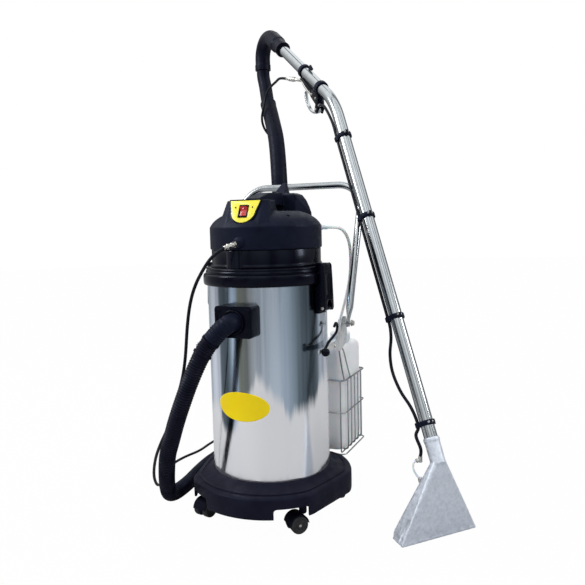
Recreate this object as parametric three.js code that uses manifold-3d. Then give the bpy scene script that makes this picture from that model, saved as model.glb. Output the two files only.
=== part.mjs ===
// Spray-extraction carpet cleaner: a steel drum on a castored base, a vacuum head with a carry grip,
// a clean-water tank in a wire basket, and a bent wand with a floor tool, joined by three hoses.
// Millimetres, +Z up. The drum's axis is x = y = 0 inside the machine group, the front is -Y.
import * as THREE from 'three';
import { mergeVertices } from 'three/addons/utils/BufferGeometryUtils.js';
import { ConvexGeometry } from 'three/addons/geometries/ConvexGeometry.js';
import Module from 'manifold-3d';

const wasm = await Module();
wasm.setup();

// ---------- driving dimensions ----------
const GAP = 0.3;                    // clearance between pieces that touch
const DEG = Math.PI / 180;

const DRUM_R = 175;
const DRUM_WALL = 1.5;
const DRUM_FLOOR = 128.3;
const DRUM_TOP = 705;

const BASE_R = 240;
const BASE_FLAT_FRONT = 52;         // degrees from the front where each side flat starts
const BASE_FLAT_REAR = 99;
const BASE_REAR_Y = 187;              // the rear is cut off flat to let the basket in
const BASE_RIM_Z = 118;
const BASE_SEAT_Z = 138;
const SKIRT_Z = 58;
const SKIRT_WALL = 9;
const NOTCH_Z = 88;                 // top of the notches in the skirt beside each caster

const CASTER_X = 150;
const CASTER_Y = 122;
const WHEEL_R = 25;
const WHEEL_WIDTH = 19;
const WHEEL_SPACING = 13;
const CASTER_TRAIL = 20;
const CASTER_TURNS = [-12, -42, -70, 40];     // where each caster's trail points, from the front
const DECK_UNDERSIDE = 92;

const RIM_Z0 = 683;
const FLANGE_Z0 = 716.3;
const FLANGE_Z1 = 733;
const FLANGE_R = 179;
const HOUSING_R = 160;
const HOUSING_Z1 = 782.7;
const COVER_R = 163.5;
const COVER_Z0 = 783;
const SHOULDER_Z = 850;
const CONE_TOP_Z = 889;
const BLOCK_TOP_Z = 921;
const GRIP_Z = 945;                 // top of the carry grip
const FIN_Z = 979;                  // tip of the fin behind the grip

const PANEL_LEAN = 26.2;            // degrees the front panel leans back from upright
const PANEL_CENTRE = [0, -136.5, 886.5];

const INLET_Z = 594;
const INLET_BLOCK = [112, 86];
const INLET_FRONT_Y = -216;
const INLET_BORE_R = 22;

const LATCH_PIVOT = [199, 616];
const LATCH_WIDTH = 50;
const LATCH_TURN = -8;              // the latches stand a little forward of the side on the right

const HANDLE_X = 210;
const HANDLE_R = 11;
const HANDLE_FOOT = [115, 552];
const HANDLE_TOP = [278, 974];
const HANDLE_CORNER_R = 82;
const PLATE_X0 = 193;
const PLATE_X1 = 198.2;

const BASKET_X = 168;
const BASKET_Y0 = 192;
const BASKET_Y1 = 400;
const BASKET_Z0 = 110;
const BASKET_Z1 = 352;
const WIRE = 4.5;

const TANK_X = 160;
const TANK_Y0 = 200;
const TANK_Y1 = 391;
const TANK_Z0 = 116;
const TANK_Z1 = 458;
const TANK_WALL = 3;
const NECK = [118, 300];
const NECK_R = 26;

const HOSE_R = 24;
const WAND_R = 19;
const WAND_FOOT = [510.7, -32.5];   // middle of the floor tool's mouth
const WAND_TURN = 49;               // degrees from +X to the tool's wide edge
const TOOL_WIDTH = 245;

// ---------- materials ----------
function material(name, color, roughness, metalness) {
  const made = new THREE.MeshStandardMaterial({ color, roughness, metalness });
  made.name = name;
  return made;
}
const steel = material('polished_steel', 0xc9ced6, 0.18, 1);
const chrome = material('chrome', 0xd8dade, 0.1, 1);
const wire = material('chrome_wire', 0xc4cad2, 0.3, 1);
const plate = material('zinc_plate', 0xcdd2d8, 0.4, 0.8);
const cast = material('cast_aluminium', 0xb9c0ca, 0.5, 0.8);
const black = material('black_plastic', 0x24252b, 0.5, 0);
const gloss = material('gloss_black_plastic', 0x101116, 0.2, 0);
const rubber = material('black_rubber', 0x17181b, 0.6, 0);
const white = material('translucent_white_plastic', 0xe6e9ee, 0.4, 0);
const yellow = material('yellow_label', 0xe8d417, 0.4, 0);
const red = material('red_plastic', 0xb81a1e, 0.3, 0);
const nickel = material('nickel', 0xb6b4ae, 0.3, 1);
const motorGrey = material('motor_can', 0x8e949b, 0.4, 0.8);

// ---------- solids ----------
function toSolid(geometry) {
  const bare = geometry.index ? geometry.toNonIndexed() : geometry.clone();
  bare.deleteAttribute('normal');
  bare.deleteAttribute('uv');
  const merged = mergeVertices(bare, 1e-4);
  const at = merged.attributes.position.array;
  const index = merged.index.array;
  const kept = [];
  let volume = 0;
  for (let i = 0; i < index.length; i += 3) {
    const [a, b, c] = [index[i], index[i + 1], index[i + 2]];
    if (a === b || b === c || c === a) continue;
    kept.push(a, b, c);
    const corner = (k) => new THREE.Vector3(at[3 * k], at[3 * k + 1], at[3 * k + 2]);
    volume += corner(a).dot(corner(b).cross(corner(c)));
  }
  if (volume < 0) kept.reverse();
  const mesh = { numProp: 3, vertProperties: new Float32Array(at), triVerts: new Uint32Array(kept) };
  return new wasm.Manifold(new wasm.Mesh(mesh));
}

function toGeometry(solid) {
  const mesh = solid.getMesh();
  const geometry = new THREE.BufferGeometry();
  const stride = mesh.numProp;
  const count = mesh.vertProperties.length / stride;
  const at = new Float32Array(count * 3);
  for (let i = 0; i < count; i += 1) {
    for (let k = 0; k < 3; k += 1) at[3 * i + k] = mesh.vertProperties[i * stride + k];
  }
  geometry.setAttribute('position', new THREE.BufferAttribute(at, 3));
  geometry.setIndex(new THREE.BufferAttribute(new Uint32Array(mesh.triVerts), 1));
  geometry.computeVertexNormals();
  return geometry;
}

function join(...solids) {
  return solids.reduce((whole, piece) => whole.add(piece));
}

function cut(solid, ...tools) {
  return tools.reduce((whole, tool) => whole.subtract(tool), solid);
}

function node(parent, name, solid, look) {
  const mesh = new THREE.Mesh(toGeometry(solid), look);
  mesh.name = name;
  parent.add(mesh);
  return mesh;
}

function group(parent, position, turn = 0) {
  const made = new THREE.Group();
  made.position.set(...position);
  made.rotation.z = turn * DEG;
  parent.add(made);
  return made;
}

// a box between two corners
function box(low, high) {
  const size = high.map((value, i) => value - low[i]);
  const made = new THREE.BoxGeometry(...size);
  made.translate(...low.map((value, i) => value + size[i] / 2));
  return toSolid(made);
}

// a profile of [radius, height] turned about +Z
function turned(profile, segments = 40) {
  const points = profile.map(([r, z]) => new THREE.Vector2(r, z));
  const made = new THREE.LatheGeometry(points, segments);
  made.rotateX(Math.PI / 2);
  return toSolid(made);
}

// a round bar from one point to another
function rod(start, end, radius, segments = 12, endRadius = radius) {
  const [a, b] = [new THREE.Vector3(...start), new THREE.Vector3(...end)];
  const along = b.clone().sub(a);
  const made = new THREE.CylinderGeometry(endRadius, radius, along.length(), segments);
  made.translate(0, along.length() / 2, 0);
  const spin = new THREE.Quaternion().setFromUnitVectors(new THREE.Vector3(0, 1, 0), along.normalize());
  made.applyQuaternion(spin);
  made.translate(a.x, a.y, a.z);
  return toSolid(made);
}

function ball(centre, radius, segments = 14) {
  const made = new THREE.SphereGeometry(radius, segments, segments / 2);
  made.translate(...centre);
  return toSolid(made);
}

function hull(points) {
  return toSolid(new ConvexGeometry(points.map((point) => new THREE.Vector3(...point))));
}

// an outline in the XY plane, raised from one height to another
function raised(shape, z0, z1, curveSegments = 12) {
  const made = new THREE.ExtrudeGeometry(shape, { depth: z1 - z0, bevelEnabled: false, curveSegments });
  made.translate(0, 0, z0);
  return toSolid(made);
}

// an outline of [y, z] points, given a thickness along X
function plateAlongX(points, x0, x1) {
  const shape = new THREE.Shape(points.map(([y, z]) => new THREE.Vector2(y, z)));
  const made = new THREE.ExtrudeGeometry(shape, { depth: x1 - x0, bevelEnabled: false });
  made.rotateX(Math.PI / 2);
  made.rotateZ(Math.PI / 2);
  made.translate(x0, 0, 0);
  return toSolid(made);
}

// a flat plate standing across y, from a profile in x and z
function plateAlongY(points, y0, y1) {
  const shape = new THREE.Shape(points.map(([x, z]) => new THREE.Vector2(x, z)));
  const made = new THREE.ExtrudeGeometry(shape, { depth: y1 - y0, bevelEnabled: false });
  made.rotateX(Math.PI / 2);
  made.translate(0, y1, 0);
  return toSolid(made);
}

// a straight-and-arc route through corner points
function filleted(corners, radius) {
  const points = corners.map((corner) => new THREE.Vector3(...corner));
  const route = [points[0]];
  for (let i = 1; i < points.length - 1; i += 1) {
    const back = points[i - 1].clone().sub(points[i]).normalize();
    const ahead = points[i + 1].clone().sub(points[i]).normalize();
    const half = back.angleTo(ahead) / 2;
    const reach = radius / Math.tan(half);
    const middle = back.clone().add(ahead).normalize();
    const centre = points[i].clone().addScaledVector(middle, radius / Math.sin(half));
    const from = points[i].clone().addScaledVector(back, reach).sub(centre);
    const to = points[i].clone().addScaledVector(ahead, reach).sub(centre);
    const axis = from.clone().cross(to).normalize();
    const sweep = from.angleTo(to);
    for (let k = 0; k <= 8; k += 1) {
      route.push(from.clone().applyAxisAngle(axis, (sweep * k) / 8).add(centre));
    }
  }
  route.push(points[points.length - 1]);
  return route;
}

// straight stretches keep their line because each long one is filled in with points
function smooth(route, spacing = 40) {
  const points = route.map((point) => (point.isVector3 ? point : new THREE.Vector3(...point)));
  const dense = [points[0]];
  for (let i = 1; i < points.length; i += 1) {
    const steps = Math.max(1, Math.round(points[i - 1].distanceTo(points[i]) / spacing));
    for (let k = 1; k <= steps; k += 1) dense.push(points[i - 1].clone().lerp(points[i], k / steps));
  }
  return new THREE.CatmullRomCurve3(dense, false, 'centripetal');
}

function spline(route) {
  const points = route.map((point) => new THREE.Vector3(...point));
  return new THREE.CatmullRomCurve3(points, false, 'centripetal');
}

function ring(radius, sides, Kind = THREE.Shape) {
  const outline = new Kind();
  for (let i = 0; i < sides; i += 1) {
    const angle = (2 * Math.PI * i) / sides;
    const method = i === 0 ? 'moveTo' : 'lineTo';
    outline[method](radius * Math.cos(angle), radius * Math.sin(angle));
  }
  return outline;
}

// a round tube along a curve; a bore of 0 makes it solid
function tube(curve, radius, bore, sides, steps) {
  const section = ring(radius, sides);
  if (bore > 0) section.holes.push(ring(bore, sides, THREE.Path));
  const settings = { steps, extrudePath: curve, bevelEnabled: false };
  return toSolid(new THREE.ExtrudeGeometry(section, settings));
}

// part of a curve, between two distances along it
function stretch(curve, start, end, count) {
  const length = curve.getLength();
  const points = [];
  for (let i = 0; i <= count; i += 1) {
    points.push(curve.getPointAt(Math.min(1, (start + ((end - start) * i) / count) / length)));
  }
  return new THREE.CatmullRomCurve3(points, false, 'centripetal');
}

// ---------- base and casters ----------
function baseOutline(inset) {
  const shape = new THREE.Shape();
  const radius = BASE_R - inset;
  const front = BASE_FLAT_FRONT * DEG;
  const rear = (BASE_FLAT_REAR - 90) * DEG;
  shape.absarc(0, 0, radius, -Math.PI / 2 - front, -Math.PI / 2 + front, false);
  const behind = Math.asin((BASE_REAR_Y - inset) / radius);
  shape.absarc(0, 0, radius, rear, behind, false);
  shape.absarc(0, 0, radius, Math.PI - behind, Math.PI - rear, false);
  shape.closePath();
  return shape;
}

function casterPlaces() {
  return [
    ['front_left', -CASTER_X, -CASTER_Y],
    ['front_right', CASTER_X, -CASTER_Y],
    ['rear_left', -CASTER_X, CASTER_Y],
    ['rear_right', CASTER_X, CASTER_Y],
  ];
}

function baseChassis() {
  const top = [[0, SKIRT_Z], [250, SKIRT_Z], [250, BASE_RIM_Z - 1], [234, BASE_RIM_Z]];
  const seat = [[DRUM_R + 1.4, BASE_SEAT_Z], [DRUM_R + 1.4, DRUM_FLOOR - GAP], [0, DRUM_FLOOR - GAP]];
  let body = turned([...top, ...seat], 48).intersect(raised(baseOutline(0), SKIRT_Z, 140, 10));
  const under = [[0, 50], [BASE_R, 50], [BASE_R, 108], [186, 122], [0, 122]];
  body = body.subtract(turned(under, 32).intersect(raised(baseOutline(SKIRT_WALL), 50, 123, 9)));
  for (const [, x, y] of casterPlaces()) {
    const notch = box([-52, BASE_R - 45, 50], [52, BASE_R + 20, NOTCH_Z]);
    const turn = Math.atan2(y, x) / DEG - 90 + (y < 0 ? -13 : 13) * Math.sign(x);
    body = body.subtract(notch.rotate([0, 0, turn]));
  }
  for (const [, x, y] of casterPlaces()) {
    const boss = rod([x, y, DECK_UNDERSIDE], [x, y, 123], 17, 12);
    const socket = rod([x, y, DECK_UNDERSIDE - 5], [x, y, 116], 6.4, 8);
    body = cut(join(body, boss), socket);
  }
  return body;
}

function casterFork() {
  const hoodProfile = new THREE.Shape();
  hoodProfile.absarc(0, 0, WHEEL_R + 4, 5 * DEG, 175 * DEG, false);
  hoodProfile.absarc(0, 0, WHEEL_R + 1.5, 175 * DEG, 5 * DEG, true);
  const width = WHEEL_SPACING + 2 * WHEEL_WIDTH - 4;
  const hood = new THREE.ExtrudeGeometry(hoodProfile, { depth: width, bevelEnabled: false, curveSegments: 5 });
  hood.translate(0, 0, -width / 2);
  const web = new THREE.Shape();
  web.absarc(0, 0, WHEEL_R + 3.5, -20 * DEG, 200 * DEG, false);
  web.lineTo(-9, -10);
  web.lineTo(9, -10);
  const webWidth = WHEEL_SPACING - 1.6;
  const centre = new THREE.ExtrudeGeometry(web, { depth: webWidth, bevelEnabled: false, curveSegments: 5 });
  centre.translate(0, 0, -webWidth / 2);
  for (const piece of [hood, centre]) {
    piece.rotateX(Math.PI / 2);
    piece.rotateZ(Math.PI / 2);
    piece.translate(0, -CASTER_TRAIL, WHEEL_R);
  }
  const neck = rod([0, 0, WHEEL_R + 14], [0, 0, DECK_UNDERSIDE - 1], 11, 12);
  const stem = rod([0, 0, DECK_UNDERSIDE - 2], [0, 0, 114], 5.6, 8);
  const clear = rod([-30, -CASTER_TRAIL, WHEEL_R], [30, -CASTER_TRAIL, WHEEL_R], WHEEL_R + 1.8, 16);
  const inner = box([-webWidth / 2, -80, 0], [webWidth / 2, 40, 90]);
  const necked = cut(neck, cut(clear, inner));
  const bore = rod([-30, -CASTER_TRAIL, WHEEL_R], [30, -CASTER_TRAIL, WHEEL_R], 4.8, 8);
  return cut(join(toSolid(hood), toSolid(centre), necked, stem), bore);
}

// both wheels and the axle between them, turned about the axle
function casterWheels() {
  const inner = WHEEL_SPACING / 2;
  const outer = inner + WHEEL_WIDTH;
  const half = [[4, inner], [WHEEL_R - 1.5, inner], [WHEEL_R, inner + 2], [WHEEL_R, outer - 4],
    [WHEEL_R - 4, outer], [0, outer]];
  const mirrored = half.slice().reverse().map(([r, z]) => [r, -z]);
  return turned([...mirrored, ...half], 16).rotate([0, 90, 0]);
}

function addCasters(parent) {
  casterPlaces().forEach(([label, x, y], i) => {
    const caster = group(parent, [x, y, 0], CASTER_TURNS[i]);
    node(caster, `caster_fork_${label}`, casterFork(), black);
    const wheels = node(caster, `caster_wheels_${label}`, casterWheels(), rubber);
    wheels.position.set(0, -CASTER_TRAIL, WHEEL_R);
  });
}

// ---------- drum ----------
function drumShell() {
  const outer = [[0, DRUM_FLOOR], [DRUM_R - 5, DRUM_FLOOR], [DRUM_R, DRUM_FLOOR + 5], [DRUM_R, DRUM_TOP]];
  const wall = DRUM_R - DRUM_WALL;
  const inner = [[wall, DRUM_TOP], [wall, DRUM_FLOOR + 6], [wall - 5, DRUM_FLOOR + 2], [0, DRUM_FLOOR + 2]];
  const hole = rod([0, -190, INLET_Z], [0, -150, INLET_Z], INLET_BORE_R, 16);
  return cut(turned([...outer, ...inner], 48), hole);
}

function rimBand() {
  const outside = [[DRUM_R + GAP, RIM_Z0], [187, RIM_Z0], [187, 713], [184, 716]];
  const lip = [[170, 716], [170, DRUM_TOP + GAP], [DRUM_R + GAP, DRUM_TOP + GAP], [DRUM_R + GAP, RIM_Z0]];
  return turned([...outside, ...lip], 48);
}

function drumCurve(clearance) {
  return turned([[0, 400], [DRUM_R + clearance, 400], [DRUM_R + clearance, 700], [0, 700]], 48);
}

function inletBlock() {
  const [width, height] = INLET_BLOCK;
  const corner = 9;
  const shape = new THREE.Shape();
  const [x, z] = [width / 2 - corner, height / 2 - corner];
  shape.absarc(x, -z, corner, -Math.PI / 2, 0, false);
  shape.absarc(x, z, corner, 0, Math.PI / 2, false);
  shape.absarc(-x, z, corner, Math.PI / 2, Math.PI, false);
  shape.absarc(-x, -z, corner, Math.PI, 1.5 * Math.PI, false);
  shape.closePath();
  const made = new THREE.ExtrudeGeometry(shape, { depth: 60, bevelEnabled: false, curveSegments: 4 });
  made.rotateX(Math.PI / 2);
  made.translate(0, INLET_FRONT_Y + 60, INLET_Z);
  const collar = rod([0, INLET_FRONT_Y - 10, INLET_Z], [0, INLET_FRONT_Y + 2, INLET_Z], 35, 24);
  const bore = rod([0, INLET_FRONT_Y - 12, INLET_Z], [0, -120, INLET_Z], INLET_BORE_R, 16);
  const seat = rod([0, INLET_FRONT_Y - 12, INLET_Z], [0, INLET_FRONT_Y + 14, INLET_Z], 28, 24);
  return cut(join(toSolid(made), collar), drumCurve(GAP), bore, seat);
}

function inletElbow() {
  const collar = rod([0, INLET_FRONT_Y - 20, INLET_Z], [0, INLET_FRONT_Y + 13.6, INLET_Z], 27.3, 16);
  const bend = tube(stretch(hoseRun, 0, ELBOW_LENGTH, 40), 24, 0, 12, 7);
  const bore = rod([0, INLET_FRONT_Y - 16, INLET_Z], [0, INLET_FRONT_Y + 20, INLET_Z], 20, 12);
  const block = box([-60, INLET_FRONT_Y - 10 - GAP, 530], [60, -150, 660]);
  return cut(join(collar, cut(join(ball([-1, INLET_FRONT_Y - 20, INLET_Z], 26, 12), bend), block)), bore);
}

function frontBadge() {
  const shell = turned([[DRUM_R + GAP, 300], [DRUM_R + 2, 300], [DRUM_R + 2, 400], [DRUM_R + GAP, 400],
    [DRUM_R + GAP, 300]], 72);
  const oval = new THREE.Shape();
  oval.absellipse(0, 0, 82, 41, 0, 2 * Math.PI, false, -DEG);
  const cutter = new THREE.ExtrudeGeometry(oval, { depth: 60, bevelEnabled: false, curveSegments: 14 });
  cutter.rotateX(Math.PI / 2);
  cutter.translate(-5, -140, 351);
  return shell.intersect(toSolid(cutter));
}

// ---------- latches ----------
function latchBracket(side) {
  const [x, z] = LATCH_PIVOT;
  const foot = box([165, -19.5, 600], [186, 19.5, 642]);
  const lug = join(box([180, -13, z - 8], [x, 13, z + 8]), rod([x, -13, z], [x, 13, z], 8, 12));
  const pinHole = rod([x, -30, z], [x, 30, z], 3.5, 10);
  const solid = cut(join(foot, lug), drumCurve(GAP), pinHole);
  return solid.rotate([0, 0, side < 0 ? 180 + LATCH_TURN : LATCH_TURN]);
}

// channel-shaped lever astride the bracket, with its pin and the hook over the head's flange
function latchLever(side) {
  const [x, z] = LATCH_PIVOT;
  const width = LATCH_WIDTH / 2;
  const cheek = [[208.6, z], [206, z - 8], [197, z - 9], [192, z - 3], [186, z - 7.5], [180, z - 8], [177, z - 4],
    [177, 676], [188.5, 681], [188.5, 742], [199.5, 742], [203.5, 736], [205.5, 700]];
  const web = [[208.6, z], [200, z - 2], [200, 690], [196, 700], [188.5, 742], [199.5, 742], [203.5, 736], [205.5, 700]];
  const cheeks = cut(plateAlongY(cheek, -width, width), box([150, -20.5, 580], [230, 20.5, 760]));
  const slot = box([x - 20, -13.4, z - 20], [x + 20, 13.4, z + 18]);
  const hook = box([170.5, -12, FLANGE_Z1 + GAP], [x - 4, 12, 742]);
  const pin = rod([x, -width, z], [x, width, z], 3, 10);
  const solid = join(cheeks, cut(plateAlongY(web, -width, width), slot), hook, pin);
  return solid.rotate([0, 0, side < 0 ? 180 + LATCH_TURN : LATCH_TURN]);
}

// ---------- head ----------
function headFlange() {
  const plug = [[96, 694], [168, 694], [168, FLANGE_Z0], [FLANGE_R, FLANGE_Z0]];
  const top = [[FLANGE_R, FLANGE_Z1 - 3], [FLANGE_R - 3, FLANGE_Z1], [64, FLANGE_Z1], [64, 726], [96, 726]];
  return turned([...plug, ...top, [96, 694]], 40);
}

function headHousing() {
  const z0 = FLANGE_Z1 + GAP;
  const outside = [[60, z0], [HOUSING_R + 3, z0], [HOUSING_R + 3, z0 + 5], [HOUSING_R, z0 + 7]];
  const inside = [[HOUSING_R, HOUSING_Z1], [HOUSING_R - 4, HOUSING_Z1], [HOUSING_R - 4, z0 + 5], [60, z0 + 5]];
  const shell = turned([...outside, ...inside, [60, z0]], 40);
  const turn = SOCKET_ANGLE * DEG;
  const [x, y] = [(HOUSING_R - 20) * Math.cos(turn), (HOUSING_R - 20) * Math.sin(turn)];
  const core = turned([[0, z0 + 5], [HOUSING_R - 4, z0 + 5], [HOUSING_R - 4, 800], [0, 800]], 40);
  return join(shell, cut(rod([x, y, z0], [x, y, HOUSING_Z1], 32, 24), core));
}

function headCover() {
  const drumLike = [[0, COVER_Z0], [COVER_R - 2, COVER_Z0], [COVER_R, COVER_Z0 + 3], [COVER_R, SHOULDER_Z - 4]];
  const cone = [[COVER_R - 2, SHOULDER_Z + 1], [154, 861], [138, 874], [118, 884], [96, CONE_TOP_Z], [0, CONE_TOP_Z]];
  const body = turned([...drumLike, ...cone], 40);
  const frontLow = [[-79, -139, 840], [79, -139, 840], [-52, -152, 840], [52, -152, 840]];
  const frontMid = [[-78, -137, 853], [78, -137, 853], [-50, -151.5, 853], [50, -151.5, 853]];
  const frontTop = [[-65, -108, BLOCK_TOP_Z], [65, -108, BLOCK_TOP_Z], [-48, -118, BLOCK_TOP_Z],
    [48, -118, BLOCK_TOP_Z]];
  const frontBack = [[-68, -40, 840], [68, -40, 840], [-62, -64, BLOCK_TOP_Z - 2], [62, -64, BLOCK_TOP_Z - 2]];
  const front = hull([...frontLow, ...frontMid, ...frontTop, ...frontBack]);
  const rear = hull([
    [-66, 66, 840], [66, 66, 840], [-64, 72, 940], [64, 72, 940], [-54, 84, GRIP_Z], [54, 84, GRIP_Z],
    [-101, 118, 840], [101, 118, 840], [-100, 116, 884], [100, 116, 884], [-93, 117, 902], [93, 117, 902],
    [-83, 118, 923], [83, 118, 923], [-70, 118, 939], [70, 118, 939], [-54, 118, GRIP_Z], [54, 118, GRIP_Z],
    [-45, 156, 840], [45, 156, 840], [-42, 150, 900], [42, 150, 900], [-36, 138, 938], [36, 138, 938],
  ]);
  const gripFront = hull([
    [-24, -92, 900], [24, -92, 900], [-22, -84, BLOCK_TOP_Z + 5], [22, -84, BLOCK_TOP_Z + 5],
    [-24, 4, 911], [24, 4, 911], [-21, -8, GRIP_Z - 1], [21, -8, GRIP_Z - 1],
  ]);
  const gripRear = hull([
    [-24, 4, 911], [24, 4, 911], [-21, -8, GRIP_Z - 1], [21, -8, GRIP_Z - 1],
    [-27, 78, 908], [27, 78, 908], [-22, 84, GRIP_Z + 2], [22, 84, GRIP_Z + 2],
  ]);
  const fin = hull([
    [-20, 92, GRIP_Z - 8], [20, 92, GRIP_Z - 8], [-19, 156, 915], [19, 156, 915],
    [-14, 118, GRIP_Z + 16], [14, 118, GRIP_Z + 16], [-7, 139, FIN_Z], [7, 139, FIN_Z],
    [-7, 148, FIN_Z - 1], [7, 148, FIN_Z - 1],
  ]);
  const cavity = [[0, 780], [COVER_R - 4, 780], [COVER_R - 4, 846], [106, 882], [0, 884]];
  const blockCavity = hull([
    [-70, -134, 840], [70, -134, 840], [-44, -146, 840], [44, -146, 840],
    [-60, -106, 914], [60, -106, 914], [-42, -112, 914], [42, -112, 914],
    [-56, -68, 840], [56, -68, 840], [-50, -71, 913], [50, -71, 913],
  ]);
  let whole = join(body, front, rear, gripFront, gripRear, fin);
  const sideSlots = [-1, 1].map((side) => rod([side * 108, -81, 850], [side * 108, -81, 900], 4.5, 10));
  whole = cut(whole, turned(cavity, 36), blockCavity, switchCutter(), shieldSeat(), ...sideSlots);
  const bulge = plugBoss();
  return cut(join(whole, bulge), plugBore(), spigotBore());
}

// ---------- front panel and switch ----------
function panelFrame(parent) {
  const frame = group(parent, PANEL_CENTRE);
  frame.rotation.set((90 - PANEL_LEAN) * DEG, 0, 0);
  return frame;
}

function shield() {
  const shape = new THREE.Shape();
  shape.moveTo(-47, 36);
  shape.lineTo(-37.6, 2);
  shape.absellipse(0, -1, 37, 34, Math.PI, 2 * Math.PI, false);
  shape.lineTo(47, 36);
  shape.closePath();
  const opening = box([-14.2, -17.2, -2], [14.2, 21.2, 6]);
  return cut(raised(shape, GAP, 2.3, 12), opening);
}

// seat that lets the foot of the shield into the dome
function shieldSeat() {
  const shape = new THREE.Shape();
  shape.absellipse(0, -1, 37.8, 35, Math.PI, 2 * Math.PI, false);
  return raised(shape, 0, 16, 10).rotate([90 - PANEL_LEAN, 0, 0]).translate(PANEL_CENTRE);
}

function switchBezel() {
  const outer = box([-14, -17, -12], [14, 21, 4]);
  return cut(outer, box([-11.3, -13.6, -10], [11.3, 17.6, 8]), box([-11.3, -13.6, -14], [11.3, 17.6, 8]));
}

function rocker() {
  const shape = new THREE.Shape([[-13, 2], [-6, 1.5], [6, 1.5], [13, 7], [12, -7], [-12, -7]]
    .map(([y, z]) => new THREE.Vector2(y, z)));
  const made = new THREE.ExtrudeGeometry(shape, { depth: 21.6, bevelEnabled: false });
  made.rotateX(Math.PI / 2);
  made.rotateZ(Math.PI / 2);
  made.translate(-10.8, 2, 0);
  return toSolid(made);
}

function switchCutter() {
  const lean = [90 - PANEL_LEAN, 0, 0];
  return box([-14.4, -17.4, -30], [14.4, 21.4, 10]).rotate(lean).translate(PANEL_CENTRE);
}

// ---------- couplings on the head ----------
const SOCKET_ANGLE = -98.5;
const SOCKET_DIR = new THREE.Vector3(-0.455, -0.857, -0.242).normalize();
const SOCKET_AT = new THREE.Vector3(-3.5, -156.4, 804.5);
const SPIGOT_ANGLE = 34;
const SPIGOT_Z = 840;

function alongSocket(distance) {
  return SOCKET_AT.clone().addScaledVector(SOCKET_DIR, distance).toArray();
}

function alongSpigot(radius) {
  return [radius * Math.cos(SPIGOT_ANGLE * DEG), radius * Math.sin(SPIGOT_ANGLE * DEG), SPIGOT_Z];
}

function plugBoss() {
  const inner = turned([[0, 780], [COVER_R - 4, 780], [COVER_R - 4, 840], [0, 840]], 48);
  return cut(rod(alongSocket(-6), alongSocket(14), 17, 16, 13), inner, box([-80, -200, 780], [0, -100, COVER_Z0]));
}

function plugBore() {
  return rod(alongSocket(-14), alongSocket(30), 6.4, 12);
}

function spigotBore() {
  return rod(alongSpigot(140), alongSpigot(180), 5.4, 12);
}

// ---------- inside the head ----------
function vacuumMotor() {
  const can = [[0, 742], [30, 742], [62, 746], [66, 750], [66, 796], [50, 800], [50, 842], [44, 848], [0, 848]];
  return turned(can, 24);
}

function sprayPump() {
  return join(rod([100, 0, 742], [100, 0, 800], 26, 16), box([76, -22, 800], [124, 22, 822]));
}

function filterBasket() {
  const outside = [[0, 610], [57, 610], [60, 614], [60, 722], [90, 722], [90, 725.7], [57, 725.7]];
  const inside = [[57, 614], [0, 614]];
  let cup = turned([...outside, ...inside], 24);
  for (let i = 0; i < 4; i += 1) {
    const angle = (i * 90 + 45) * DEG;
    const [x, y] = [80 * Math.cos(angle), 80 * Math.sin(angle)];
    cup = cup.subtract(hull([-1, 1].flatMap((way) => [640, 690].map((z) => [
      [x - way * 0.2 * y, y + way * 0.2 * x, z], [0, 0, z],
    ])).flat()));
  }
  return cup;
}

// ---------- push handle ----------
function handleSide(side) {
  const yz = [[-92, 484], [80, 472], [140, 496], [136, 568], [98, 572], [58, 512], [-92, 514]];
  const blade = plateAlongX(yz, PLATE_X0, PLATE_X1);
  const standoff = box([150, -46, 482], [PLATE_X0 + 1, 46, 512]);
  const pivot = rod([180, HANDLE_FOOT[0], HANDLE_FOOT[1]], [230, HANDLE_FOOT[0], HANDLE_FOOT[1]], 4.4, 12);
  const solid = cut(join(blade, standoff), drumCurve(GAP), pivot);
  return side < 0 ? solid.mirror([1, 0, 0]) : solid;
}

function handleBolt(side) {
  const [y, z] = HANDLE_FOOT;
  const shank = rod([188, y, z], [224, y, z], 4, 12);
  const head = rod([222, y, z], [229, y, z], 8.5, 6);
  const nut = rod([185, y, z], [PLATE_X0 - GAP, y, z], 7.5, 6);
  const solid = join(shank, head, nut);
  return side < 0 ? solid.mirror([1, 0, 0]) : solid;
}

function pushHandle() {
  const foot = (side) => [side * HANDLE_X, HANDLE_FOOT[0], HANDLE_FOOT[1]];
  const top = (side) => [side * HANDLE_X, HANDLE_TOP[0], HANDLE_TOP[1]];
  const route = filleted([foot(-1), top(-1), top(1), foot(1)], HANDLE_CORNER_R);
  let bar = tube(smooth(route, 60), HANDLE_R, 0, 10, 30);
  for (const side of [-1, 1]) {
    const [x, y, z] = foot(side);
    const eye = rod([x - 10.6, y, z], [x + 10.6, y, z], 14, 16);
    const bore = rod([x - 20, y, z], [x + 20, y, z], 4.5, 12);
    bar = cut(join(bar, eye), bore);
  }
  return bar;
}

// hook for the mains cable on the right bracket, with its ball knob
function cableHook() {
  const route = [[0, -76, 500], [0, -60, 506], [0, -30, 520], [0, 10, 530], [0, 34, 540],
    [0, 40, 556], [0, 28, 564], [0, 14, 556]].map(([x, y, z]) => [x + PLATE_X1 + 4.6, y, z]);
  const wireHook = tube(spline(route), 4, 0, 6, 16);
  return join(wireHook, ball([PLATE_X1 + 12.6, -80, 499], 12, 12));
}

// ---------- basket and tank ----------
function wireBar(start, end) {
  return rod(start, end, WIRE / 2, 4);
}

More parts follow.
